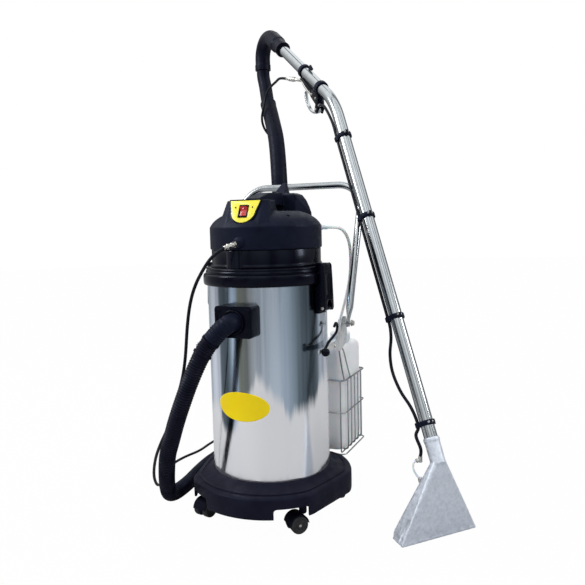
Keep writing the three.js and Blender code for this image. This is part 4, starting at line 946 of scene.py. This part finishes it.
def add_badge():
    across, up, lean, rings, sides = 82.0, 41.0, radians(-1), 16, 96
    verts, faces = [], []
    rows = [(i / rings, 1.8) for i in range(rings + 1)]
    rows[-1] = (0.985, 1.8)
    rows += [(1.0, 1.4), (1.0, 0.3)]
    for k, (share, lift) in enumerate(rows):
        count = 1 if k == 0 else sides
        for j in range(count):
            angle = 2 * pi * j / sides
            u, v = across * share * cos(angle), up * share * sin(angle)
            turn = (u * cos(lean) - v * sin(lean) - 5) / DRUM_R
            height = 351 + u * sin(lean) + v * cos(lean)
            r = DRUM_R + lift
            verts.append(Vector((r * sin(turn), -r * cos(turn), height)))
    faces += [(0, 1 + j, 1 + (j + 1) % sides) for j in range(sides)]
    for k in range(len(rows) - 2):
        low, high = 1 + k * sides, 1 + (k + 1) * sides
        faces += [(low + j, high + j, high + (j + 1) % sides, low + (j + 1) % sides)
                for j in range(sides)]
    last = 1 + (len(rows) - 2) * sides
    faces.append(tuple(range(last, last + sides))[::-1])
    piece("front_oval_badge", (verts, faces), "badge_print", "front_badge", sharp=60)


# ---------- latches ----------
def add_latches():
    for label, angle in (("right", -8), ("left", 172)):
        turning = Matrix.Rotation(radians(angle), 3, "Z")
        put = lambda shape, turning=turning: moved(shape, lambda p: turning @ p)
        foot = [Vector((x, y, 600))
                for x, y in ((186, -19.5), (186, 19.5), (174.2, 19.5), (175.3, 0), (174.2, -19.5))]
        pad = prism(foot, (0, 0, 42))
        lug = prism([(180, -13, 608), (199, -13, 608), (206, -13, 612), (207, -13, 616), (206, -13, 620),
                (199, -13, 624), (180, -13, 624)], (0, 26, 0))
        rivets = [bar((177, side * 12, z), (187.4, side * 12, z), 2.6, 16, ease=0.6) for side in (-1, 1)
                for z in (630, 637)]
        piece(f"latch_foot_{label}", put(together(pad, lug)), "gloss_black", f"latch_bracket_{label}",
                bevel=1.2)
        piece(f"latch_rivets_{label}", put(together(*rivets)), "nickel", sharp=30)
        side_view = [(208.6, 616), (206, 608), (197, 607), (192, 613), (186, 608.6), (180, 608),
                (177, 612), (177, 674), (179, 676), (188.5, 681), (188.5, 741), (198, 742), (202.4, 738),
                (203.6, 734), (205.6, 700), (207.6, 650)]
        cheeks = [prism([(x, y, z) for x, z in side_view], (0, 4.5, 0)) for y in (-25, 20.5)]
        outer = [(208.6, 616), (203, 610), (201.4, 614), (200.6, 690), (197.4, 700), (188.5, 720),
                (188.5, 741), (198, 742), (202.4, 738), (203.6, 734), (205.6, 700), (207.6, 650)]
        web = prism([(x, -22, z) for x, z in outer], (0, 44, 0))
        hook = block((171, -12, 733.5), (195, 12, 742))
        fork = prism([(150, -13.4, 590), (150, 13.4, 590), (150, 13.4, 626), (150, 6, 638),
                (150, -6, 638), (150, -13.4, 626)], (80, 0, 0))
        dish = prism([(204.4, y, z) for y, z in rounded_outline(-16, 16, 648, 712, 8)], (6, 0, 0))
        piece(f"latch_web_{label}", put(web), "gloss_black", f"latch_lever_{label}", f"latch_{label}",
                cutters=[put(fork), put(dish)], bevel=1.2)
        piece(f"latch_cheeks_{label}", put(together(*cheeks, hook)), "gloss_black",
                body=f"latch_{label}", bevel=1.2)
        piece(f"latch_pin_{label}", put(together(bar((199, -26, 616), (199, 26, 616), 2.8, 20), spun(
                (199, -27.4, 616), (199, -24.6, 616), [(0, 0), (4, 0.2), (5, 1), (0, 1)], 24), spun(
                (199, 27.4, 616), (199, 24.6, 616), [(0, 0), (4, 0.2), (5, 1), (0, 1)], 24))), "nickel",
                body=f"latch_{label}", sharp=30)


# ---------- head ----------
SOCKET_ANGLE = radians(-98.5)
PANEL_AXES = Matrix.Rotation(radians(90 - 26.2), 3, "X")
PANEL_SEAT = Vector((0, -136.5, 886.5))


def add_head():
    flange = [(168, 700), (168, 716.3), (179, 716.3), (179.4, 718), (179.4, 722), (178, 724),
            (177.2, 725.4), (177.6, 727.4), (177.8, 729.6), (176.6, 731.8), (174, 733), (64, 733),
            (64, 726), (96, 726), (96, 700)]
    piece("head_seal_flange", lathe(flange, 160), "gloss_black", "head_flange", sharp=42)
    shell = [(156, 738), (156, 782.6), (159.4, 782.6), (160, 781.8), (160, 745), (160.6, 742),
            (162.6, 740), (163.4, 738), (163.4, 734.6), (162.6, 733.4), (60, 733.4), (60, 738)]
    piece("motor_housing", lathe(shell, 160), "gloss_black", "head_housing", sharp=42)
    x, y = 140 * cos(SOCKET_ANGLE), 140 * sin(SOCKET_ANGLE)
    boss = spun((x, y, 733.6), (x, y, 782.4),
            [(0, 0), (33, 0), (33, 0.06), (32, 0.1), (32, 0.96), (31, 1), (0, 1)], 56)
    piece("motor_housing_boss", boss, "gloss_black", sharp=40)
    add_cover()
    add_panel()
    add_couplings()


def add_cover():
    profile = [(0, 783.4), (161, 783.4), (163, 784.2), (163.5, 786), (163.5, 844), (163, 847.4),
            (161, 850.6), (156, 858), (150, 864.4), (143, 870.2), (135, 875.4), (126, 880.2),
            (117, 884.2), (107, 887.2), (96, 889), (0, 889)]
    front = hull(pairs((79, -139, 835), (52, -152, 835), (78, -138, 853), (51, -151.6, 853),
            (65, -108.6, 920), (50, -118, 920), (68, -40, 835), (62, -64, 919)))
    rear = hull(pairs((66, 66, 838), (64, 72, 940), (54, 84, 945), (101, 118, 840), (100, 116, 884),
            (93, 117, 902), (83, 118, 923), (70, 118, 939), (54, 118, 945), (45, 156, 840),
            (42, 150, 900), (36, 138, 938)))
    grip = hull(pairs((24, -92, 897), (22, -84, 926), (24, 4, 910), (21, -8, 944)))
    grip_rear = hull(pairs((24, 4, 910), (21, -8, 944), (27, 78, 907), (22, 84, 947)))
    fin = hull(pairs((20, 92, 937), (19, 156, 915), (14, 118, 961), (7, 139, 979), (7, 148, 978)))
    parts = together(lathe(profile, 128), front, rear, grip, grip_rear, fin)
    slots = [bar((side * 108, -81, 858), (side * 108, -81, 905), 4.5, 20) for side in (-1, 1)]
    opening = moved(block((-14.4, -17.4, -26), (14.4, 21.4, 12)), panel_place)
    seat = prism([panel_place((p.x, p.y, -0.2)) for p in shield_outline(3.8)], panel_offset((0, 0, 18)))
    piece("head_hood", parts, "matt_black", "head_cover", remesh=2.0, smooth=2,
            cutters=[*slots, seat, opening], sharp=32)
    vents = []
    for side in (-1, 1):
        for k in range(6):
            y = 76 + k * 9
            top = 918 - k * 7
            vents.append(hull([(side * 60, y, 862), (side * 60, y + 3.4, 862),
                    (side * (73.5 - k * 0.6), y, 866), (side * (73.5 - k * 0.6), y + 3.4, 866),
                    (side * 58, y, top), (side * 58, y + 3.4, top - 3), (side * (63 - k), y, top - 4),
                    (side * (63 - k), y + 3.4, top - 6)]))
    piece("head_vent_ribs", together(*vents), "matt_black", bevel=0.8)


def panel_offset(step):
    return PANEL_AXES @ Vector(step)


def panel_place(point):
    return PANEL_SEAT + panel_offset(point)


def shield_outline(grow=0.0):
    made = [Vector((-47 - grow, 36 + grow))]
    for k in range(33):
        angle = pi + pi * k / 32
        made.append(Vector(((37.6 + grow) * cos(angle), 2 + (35 + grow) * sin(angle))))
    return made + [Vector((47 + grow, 36 + grow))]


def add_panel():
    hole = moved(block((-14.2, -17.2, -8), (14.2, 21.2, 9)), panel_place)
    for name, grow, low, high, look, nodes in (("panel_border", 3.2, -0.6, 1.7, "gloss_black", ()),
            ("panel_shield", -1.2, 0.4, 2.3, "yellow_print", "control_panel")):
        outline = [panel_place((p.x, p.y, low)) for p in shield_outline(grow)]
        offset = panel_offset((0, 0, high - low))
        piece(name, prism(outline, offset), look, nodes, cutters=[hole], bevel=0.5)
    rim = [panel_place((x, y, -9)) for x, y in rounded_outline(-14, 14, -17, 21, 2)]
    lift = panel_offset((0, 0, 13.4))
    well = moved(block((-11.3, -13.6, -14), (11.3, 17.6, 12)), panel_place)
    piece("switch_frame", prism(rim, lift), "gloss_black", "switch_bezel", cutters=[well], bevel=0.8)
    curve = [(-13, 1.8), (-10, 1.9), (-6, 1.4), (0, 1.2), (5, 2.2), (10, 5), (13, 7.2), (12.4, -6.6),
            (-12.4, -6.6)]
    rocker = prism([panel_place((-10.8, 2 + y, z)) for y, z in curve], panel_offset((21.6, 0, 0)))
    mark = moved(block((-1.1, 7, 4.2), (1.1, 10.5, 6.2)), panel_place)
    piece("rocker_cap", rocker, "red_rocker", "rocker_switch", "rocker", bevel=0.7)
    piece("rocker_mark", mark, "float_white", body="rocker", bevel=0.2)
    lamps = [bar(panel_place((x, 14, 1.6)), panel_place((x, 14, 3.4)), 2.2, 20, ease=0.5)
            for x in (-26, 26)]
    piece("panel_rivets", together(*lamps), "gloss_black")


def add_couplings():
    socket = together(bar(along_socket(-10), along_socket(30), 5.6, ease=0.5),
            bar(along_socket(14.4), along_socket(20), 9, 6),
            bar(along_socket(21), along_socket(29.8), 7.2, ease=0.6))
    piece("socket_nipple", socket, "nickel", "solution_socket", sharp=30)
    pad = spun(along_socket(-10), along_socket(14),
            [(0, 0), (19, 0), (18, 0.55), (15, 0.9), (12, 1), (0, 1)], 48)
    piece("socket_boss", pad, "matt_black", sharp=50)
    spigot = together(bar(along_spigot(148), along_spigot(185.6), 4.4, ease=0.5),
            bar(along_spigot(162), along_spigot(170), 9, 6),
            bar(along_spigot(172), along_spigot(185.8), 6.2, ease=0.8))
    piece("spigot_nipple", spigot, "milky_plastic", "suction_spigot", sharp=30)


# ---------- push handle ----------
PIVOT_Y, PIVOT_Z = 115, 552
LEG_X = 210


def add_handle():
    for side in (-1, 1):
        label = "right" if side > 0 else "left"
        turn = (lambda shape: shape) if side > 0 else mirrored
        outline = [(-92, 495), (-89, 493), (8, 492), (78, 472), (90, 474), (136, 494), (141, 502),
                (139, 560), (132, 570), (104, 573), (94, 568), (60, 515), (50, 511), (-89, 506),
                (-92, 504)]
        blade = prism([(193, y, z) for y, z in outline], (4.6, 0, 0))
        wall = [Vector(((DRUM_R + 0.4) * cos(y / 175), (DRUM_R + 0.4) * sin(y / 175), 482))
                for y in range(-8, 45, 4)]
        foot = prism([(194, -9, 484), *wall, (194, 45, 484)], (0, 0, 24))
        lip = prism([(190, y, z)
                for y, z in ((20, 505), (56, 508), (90, 566), (86, 568), (53, 512), (20, 509))],
                (5, 0, 0))
        piece(f"handle_plate_{label}", turn(together(blade, foot, lip)), "zinc_plate",
                f"handle_bracket_{label}", bevel=0.8)
        y, z = PIVOT_Y, PIVOT_Z
        bolt = together(bar((188, y, z), (224, y, z), 3.9, 24),
                bar((222.4, y, z), (228.6, y, z), 8.2, 6), bar((220.8, y, z), (222.4, y, z), 10, 32),
                bar((185.4, y, z), (192.6, y, z), 7.4, 6))
        screws = [spun((197.4, u, v), (200.6, u, v), [(0, 0), (6, 0), (5.6, 0.5), (3.4, 1), (0, 1)], 24)
                for u, v in ((-30, 498), (30, 496))]
        piece(f"handle_pivot_bolt_{label}", turn(bolt), "nickel", f"handle_bolt_{label}", bevel=0.5)
        piece(f"handle_plate_screws_{label}", turn(together(*screws)), "nickel", sharp=30)
    foot = lambda side: Vector((side * LEG_X, PIVOT_Y, PIVOT_Z))
    top = lambda side: Vector((side * LEG_X, 278, 974))
    line = even(filleted([foot(-1), top(-1), top(1), foot(1)], 82, 24), 8)
    flat = [0.34 + 0.66 * min(1, max(0, (min(i, len(line) - 1 - i) * 8 - 14) / 34))
            for i in range(len(line))]
    bar_shape = sweep(line, 11, 28)
    verts = []
    for index, vert in enumerate(bar_shape[0]):
        ring = index // 28
        centre = line[ring]
        verts.append(Vector((centre.x + (vert.x - centre.x) * flat[ring],
                *(centre.yz + (vert.yz - centre.yz) * (1 + 0.22 * (1 - flat[ring]))))))
    eyes = [prism([Vector((side * LEG_X - 3.8, PIVOT_Y + 12.4 * cos(a), PIVOT_Z + 12.4 * sin(a)))
            for a in turns(32)], (7.6, 0, 0)) for side in (-1, 1)]
    holes = [bar(foot(side) - Vector((20, 0, 0)), foot(side) + Vector((20, 0, 0)), 4.4, 24)
            for side in (-1, 1)]
    piece("push_bar", (verts, bar_shape[1]), "chrome_tube", "push_handle", "handle", cutters=holes,
            sharp=30)
    piece("push_bar_eyes", together(*eyes), "chrome_tube", body="handle", cutters=holes, bevel=0.6)
    hook = [Vector((202.8, y, z)) for y, z in ((-76, 500), (-60, 506), (-30, 520), (10, 530), (34, 540),
            (40, 556), (28, 564), (14, 556))]
    piece("cable_hook_wire", sweep(catmull(hook, 3), 4, 18), "gloss_black", "cable_hook")
    knob = [(0, 0), (5, 0.03), (9.4, 0.16), (11.8, 0.4), (11.8, 0.6), (9.4, 0.84), (5, 0.97), (0, 1)]
    piece("cable_hook_knob", spun((210.8, -92, 499), (210.8, -68, 499), knob, 40), "gloss_black")


# ---------- basket and tank ----------
def add_basket():
    x, y0, y1, z0, z1 = 168, 192, 400, 110, 352
    wires = []

    def wire(points, radius=2.1):
        wires.append(sweep([Vector(p) for p in points], radius, 12))

    for z, radius in ((z0, 2.2), (246, 2.1), (z1, 2.8)):
        outline = rounded_outline(-x, x, y0, y1, 16, 6)
        loop = [Vector((u, v, z)) for u, v in outline]
        loop.append(loop[0])
        wire(even(loop, 9) + [loop[1] * 0.5 + loop[0] * 0.5], radius)
    for k in range(7):
        at = -x + 14 + (2 * x - 28) * k / 6
        rise = filleted([(at, y0 + 1, z1 + 2), (at, y0 + 1, z0 + 4), (at, y1 - 1, z0 + 4),
                (at, y1 - 1, z1 + 2)], 10, 6)
        wire(rise)
    for k in range(1, 6):
        at = y0 + (y1 - y0) * k / 6
        rise = filleted([(-x + 1, at, z1 + 2), (-x + 1, at, z0 + 8), (x - 1, at, z0 + 8),
                (x - 1, at, z1 + 2)], 10, 6)
        wire(rise)
    baskets = len(wires)
    for side in (-1, 1):
        wire(catmull([(side * x, y0 + 2, z1 + 1), (side * 174, 160, 390), (side * 184, 110, 452),
                (side * 190.4, 82, 486)], 6), 2.4)
        wire(catmull([(side * x, y0 + 60, z1), (side * 176, 200, 400), (side * 186, 140, 458),
                (side * 190.4, 100, 488)], 6), 2.2)
    piece("basket_hangers", together(*wires[baskets:]), "chrome_wire",
            ("basket_hanger_left", "basket_hanger_right"), sharp=60)
    piece("basket_wires", together(*wires[:baskets]), "chrome_wire", "wire_basket", sharp=60)


def add_tank():
    rings = []
    for inset, z in ((26, 116.2), (12, 117), (4, 121), (0.6, 130), (0, 150), (0, 430), (1, 443),
            (5, 452), (12, 457), (24, 458)):
        outline = rounded_outline(-160 + inset, 160 - inset, 200 + inset, 391 - inset, 26 - inset * 0.4,
                8)
        rings.append([Vector((u, v, z)) for u, v in outline])
    body = skin(rings)
    neck = lathe([(0, 454), (26, 454), (26, 476), (25, 482), (0, 482)], 64, (*NECK, 0))
    thread = sweep([Vector((NECK[0] + 27 * cos(a), NECK[1] + 27 * sin(a), 462)) for a in turns(48)], 1.4,
            8)
    piece("tank_body", together(body, neck), "milky_plastic", "solution_tank", sharp=50)
    piece("tank_neck_ring", thread, "milky_plastic")
    z = 482.4
    profile = [(6.2, z + 9), (22, z + 9), (29, z + 8.6), (31.4, z + 7), (32, z + 4), (32, z - 18),
            (31.2, z - 19), (28.4, z - 19), (27.6, z - 18), (27.6, z), (6.2, z)]
    ridges = []
    for k in range(36):
        angle = 2 * pi * k / 36
        u, v = NECK[0] + 31.6 * cos(angle), NECK[1] + 31.6 * sin(angle)
        ridges.append(spun((u, v, z - 18), (u, v, z + 5), [(0, 0), (0.9, 0.03), (0.9, 0.97), (0, 1)], 8))
    piece("tank_screw_cap", together(lathe(profile, 72, (*NECK, 0)), *ridges), "milky_plastic",
            "tank_cap", "cap", sharp=40)
    stem = together(bar((*NECK, 132), (*NECK, 502), 5, 24), spun((*NECK, 491.8), (*NECK, 498.4),
            [(0, 0), (10, 0), (10, 0.7), (8.6, 1), (0, 1)], 36))
    piece("pickup_stem", stem, "milky_plastic", "pickup_tube", sharp=40)


# ---------- wand ----------
EYE = (17.5, -17.5)
ELBOW_BEND = 65


def add_wand_tube():
    route = [lower_at(-18), *filleted([FERRULE, BEND, WAND_END], 240, 20)[1:-1], upper_at(-60)]
    line = even(route, 10)
    piece("wand_chrome_tube", sweep(line, WAND_R, 48, bore=17.4), "chrome_tube", "wand_tube", wand=True,
            sharp=30)


def clamp_shape(distance, half):
    below, side = EYE
    ends = [(22.9, 0), (23.6, 0.08), (23.6, 0.92), (22.9, 1), (19.3, 1), (19.3, 0)]
    band = spun(lower_at(distance - half), lower_at(distance + half), ends, 56)
    eye = spun(lower_at(distance - half, below, side), lower_at(distance + half, below, side),
            [(7.8, 0), (8.4, 0.08), (8.4, 0.92), (7.8, 1), (4.9, 1), (4.9, 0)], 36)
    web = hull([lower_at(distance + u, b, s) for u in (-half + 1, half - 1)
            for b, s in ((19.5, -4), (4, -19.5), (24.2, -13.2), (13.2, -24.2))])
    ear = hull([lower_at(distance + u, b, s) for u in (-half + 1.5, half - 1.5)
            for b, s in ((-20, -8), (-31, -10), (-31, -2), (-22, 3))])
    screw = spun(lower_at(distance, -27, -13), lower_at(distance, -27, 1), [(0, 0), (3.6, 0), (3.6, 0.2),
            (1.8, 0.22), (1.8, 0.85), (3.4, 0.86), (3.4, 1), (0, 1)], 20)
    return together(band, eye, web, ear), screw


def add_clamps():
    screws = []
    for name, distance in (("upper", 972), ("middle", 683), ("lower", 355), ("foot", 45)):
        band, screw = clamp_shape(distance, 7)
        piece(f"clamp_band_{name}", band, "matt_black", f"clamp_{name}", wand=True, sharp=34)
        screws.append(screw)
    piece("clamp_screws", together(*screws), "nickel", wand=True, sharp=34)


def flat_plate(outline, half):
    return prism([upper_at(d, b, -half) for d, b in outline], (2 * half, 0, 0))


def add_valve():
    band_ends = [(23.2, 0), (24, 0.1), (24, 0.9), (23.2, 1), (19.3, 1), (19.3, 0)]
    bands = [spun(upper_at(199), upper_at(183), band_ends, 56),
            spun(upper_at(345), upper_at(327), band_ends, 56)]
    strap = flat_plate([(183, 22), (199, 22), (300, 27), (300, 40), (240, 36), (183, 32)], 7)
    housing = flat_plate([(296, 22), (346, 22), (372, 58), (370, 76), (352, 76), (346, 54), (320, 50),
            (296, 46)], 13)
    slot = flat_plate([(346.5, 53), (380, 53), (380, 92), (343, 92)], 6.7)
    tube = bar(upper_at(420), upper_at(160), 19.3, 48)
    piece("valve_block", together(strap, housing), "gloss_black", "valve_body", wand=True,
            cutters=[slot, tube], bevel=1.4)
    piece("valve_bands", together(*bands), "matt_black", wand=True, sharp=34)
    pipe = catmull([upper_at(186, 35), upper_at(220, 43), upper_at(262, 47), upper_at(300, 45)], 4)
    bolts = [spun(upper_at(d, b, -15.4), upper_at(d, b, 15.4), [(0, 0), (3.8, 0.01), (4.4, 0.05),
            (1.8, 0.055), (1.8, 0.945), (4.4, 0.95), (3.8, 0.99), (0, 1)], 24)
            for d, b in ((306, 36), (338, 36))]
    outlet = spun(upper_at(368, 48, -8), upper_at(378, 43, -11),
            [(0, 0), (6, 0), (6, 0.6), (5.2, 1), (0, 1)], 24)
    piece("valve_pipe", together(sweep(pipe, 4.2, 20), *bolts, outlet), "nickel", wand=True, sharp=34)
    wing = hull([upper_at(d, b, s)
            for d, b, half in ((215, -21, 4), (222, -36, 3), (246, -30, 3), (238, -21, 4))
            for s in (half, -half)])
    piece("valve_wing", wing, "matt_black", wand=True, bevel=1.0)


def add_trigger():
    outer = [(362, 77), (344, 89), (328, 93.4), (310, 95), (292, 93.4), (277, 89), (262, 82), (248, 73),
            (238, 63), (232, 55), (234.6, 52.4), (241, 58), (252, 68), (266, 77), (280, 84), (295, 88.6),
            (310, 90), (326, 88.4), (340, 84), (352, 75), (354, 64), (366, 68)]
    blade = flat_plate(outer, 5.9)
    barrel = spun(upper_at(360, 66, -5.9), upper_at(360, 66, 5.9),
            [(0, 0), (7.4, 0), (8, 0.08), (8, 0.92), (7.4, 1), (0, 1)], 40)
    piece("trigger_blade", together(blade, barrel), "chrome_bright", "trigger_lever", "trigger",
            wand=True, bevel=1.3)
    pin = spun(upper_at(360, 66, -15), upper_at(360, 66, 15), [(0, 0), (4.2, 0.02), (4.2, 0.07),
            (2.8, 0.08), (2.8, 0.92), (4.2, 0.93), (4.2, 0.98), (0, 1)], 24)
    piece("trigger_pin", pin, "nickel", body="trigger", wand=True, sharp=34)


def add_wand_hose():
    eye = lambda distance: lower_at(distance, *EYE)
    jet = Vector((-27, 46, 214))
    route = [upper_at(373.3, 46, -8), upper_at(392, 38, -14), upper_at(412, 29, -18), eye(1040),
            eye(972), eye(900), eye(683), eye(400), eye(355), eye(336), lower_at(300, 26, -20),
            lower_at(262, 46, -24), lower_at(212, 56, -26), lower_at(150, 46, -24),
            lower_at(100, 26, -19), eye(62), eye(45), eye(35), lower_at(26, 27, -27),
            lower_at(8, 27, -27), lower_at(-20, 27, -23), jet]
    line = relaxed(even(catmull(route, 4), 4), 6)
    piece("wand_pressure_hose", sweep(line, THIN_R, 16), "thin_hose", "wand_hose", wand=True)
    x, y, z = jet
    body = together(bar((x, y, z + 2), (x, y, z - 14), 6.2, 6),
            bar((x, y, z - 4), (x, y, z - 15), 5.6, ease=1),
            bar((x + 4, y - 1, z - 9), (x - 13, y + 3.2, z - 10), 4.4, 20),
            bar((x - 7, y + 1.8, z - 9.6), (x - 11, y + 2.7, z - 9.9), 6, 6))
    piece("jet_fitting", body, "nickel", "jet_elbow", wand=True, bevel=0.4)
    small = catmull([(x - 13.4, y + 3.2, z - 10.2), (x - 20, y + 3, z - 15), (x - 22, y + 1, z - 30),
            (x - 15, y - 3, z - 47), (x - 6, y - 6, z - 60)], 3)
    nozzle = spun(small[-1] + Vector((0, 0, 5)), small[-1] - Vector((-3, 0, 8)),
            [(0, 0), (5, 0), (6, 0.2), (6, 1), (0, 1)], 20)
    piece("jet_pipe", sweep(small, 2.7, 16), "milky_plastic", "jet_tube", wand=True)
    piece("jet_nozzle", nozzle, "nickel", wand=True)


def ring_on_neck(distance, radius, count=20):
    return [lower_at(distance, radius * cos(a), radius * sin(a)) for a in turns(count)]


def add_floor_tool():
    shell = hull(pairs((122.5, -4, 0), (122.5, -4, 6), (116, 50, 0), (112, 50, 22),
            (4, -4, 203)) + ring_on_neck(-58, 20.6))
    collar = spun(lower_at(-66), lower_at(5.5), [(0, 0), (20.6, 0), (21, 0.7), (21.4, 0.84),
            (22.4, 0.86), (22.6, 0.95), (21.8, 1), (0, 1)], 56)
    inner = hull(
            pairs((117, 0, -5), (110, 45.5, -5), (104, 45.5, 20)) + [(0, 3, 186)] + ring_on_neck(-56, 12))
    bore = bar(lower_at(-52), lower_at(30), 14, 40)
    socket = bar(lower_at(-18.4), lower_at(40), 19.4, 48)
    ridges = [hull([(side * x, y, z) for x, y, z in ((121, 8, 2), (118, 26, 2), (19, 2, 190),
            (16, 14, 192), (123.4, 14, 8), (120.6, 20, 8), (21.5, 6, 188), (19, 11, 190))])
            for side in (-1, 1)]
    lip = hull(pairs((122.5, -5.5, 0.4), (122.5, -5.5, 7), (122.5, -2, 0.4), (121.5, -2, 9)))
    piece("tool_casting", together(shell, collar, lip, *ridges), "cast_aluminium", "floor_tool",
            wand=True, remesh=2.0, smooth=2, cutters=[inner, bore, socket], sharp=40)


def add_wand_elbow():
    sleeve = upper_at(-135)
    centre = sleeve + UPPER_UNDER * ELBOW_BEND
    start = atan2(sleeve.z - centre.z, sleeve.y - centre.y)
    arc = [centre + ELBOW_BEND * Vector((0, cos(a), sin(a)))
            for a in (start * (1 - i / 24) for i in range(25))]
    tail = Vector((0, centre.y + ELBOW_BEND, 1470))
    line = even([upper_at(-20), *[upper_at(-d) for d in range(30, 131, 10)], *arc, tail], 4)
    radii = []
    for i in range(len(line)):
        at = i * 4
        left = (len(line) - 1 - i) * 4
        r = 27.6 if at < 52 else 31 if at < 114 else 29.4
        if at < 6 or 40 <= at < 52:
            r = 28.4
        if left < 22:
            r = 31
        radii.append(r)
    piece("wand_end_elbow", sweep(line, radii, 48, bore=19.4), "hose_rubber", "wand_elbow", wand=True,
            sharp=34)


def finish_hidden():
    for inner, look in (("vacuum_motor", "motor_can"), ("spray_pump", "motor_can"),
            ("filter_basket", "gloss_black"), ("float_ball", "float_white")):
        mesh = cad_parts[inner].data
        mesh.materials.clear()
        mesh.materials.append(LOOKS[look])
        mesh.shade_smooth()
        mesh.set_sharp_from_angle(angle=radians(40))


add_looks()
add_camera()
LENGTHS = add_vacuum_hose(), *add_thin_hoses()
print("cord lengths, mm:", [round(v) for v in LENGTHS])
add_stage()
add_world()
add_area("key", (-3.0, -1.8, 3.0), (0, 0, 0.6), 1.6, 90)
add_area("side", (3.4, 0.6, 2.2), (0, 0, 0.7), 0.8, 26)
add_base()
add_casters()
add_drum()
add_inlet()
add_badge()
add_latches()
add_head()
add_handle()
add_basket()
add_tank()
add_wand_tube()
add_clamps()
add_valve()
add_trigger()
add_wand_hose()
add_floor_tool()
add_wand_elbow()
finish_hidden()

bpy.context.view_layer.update()
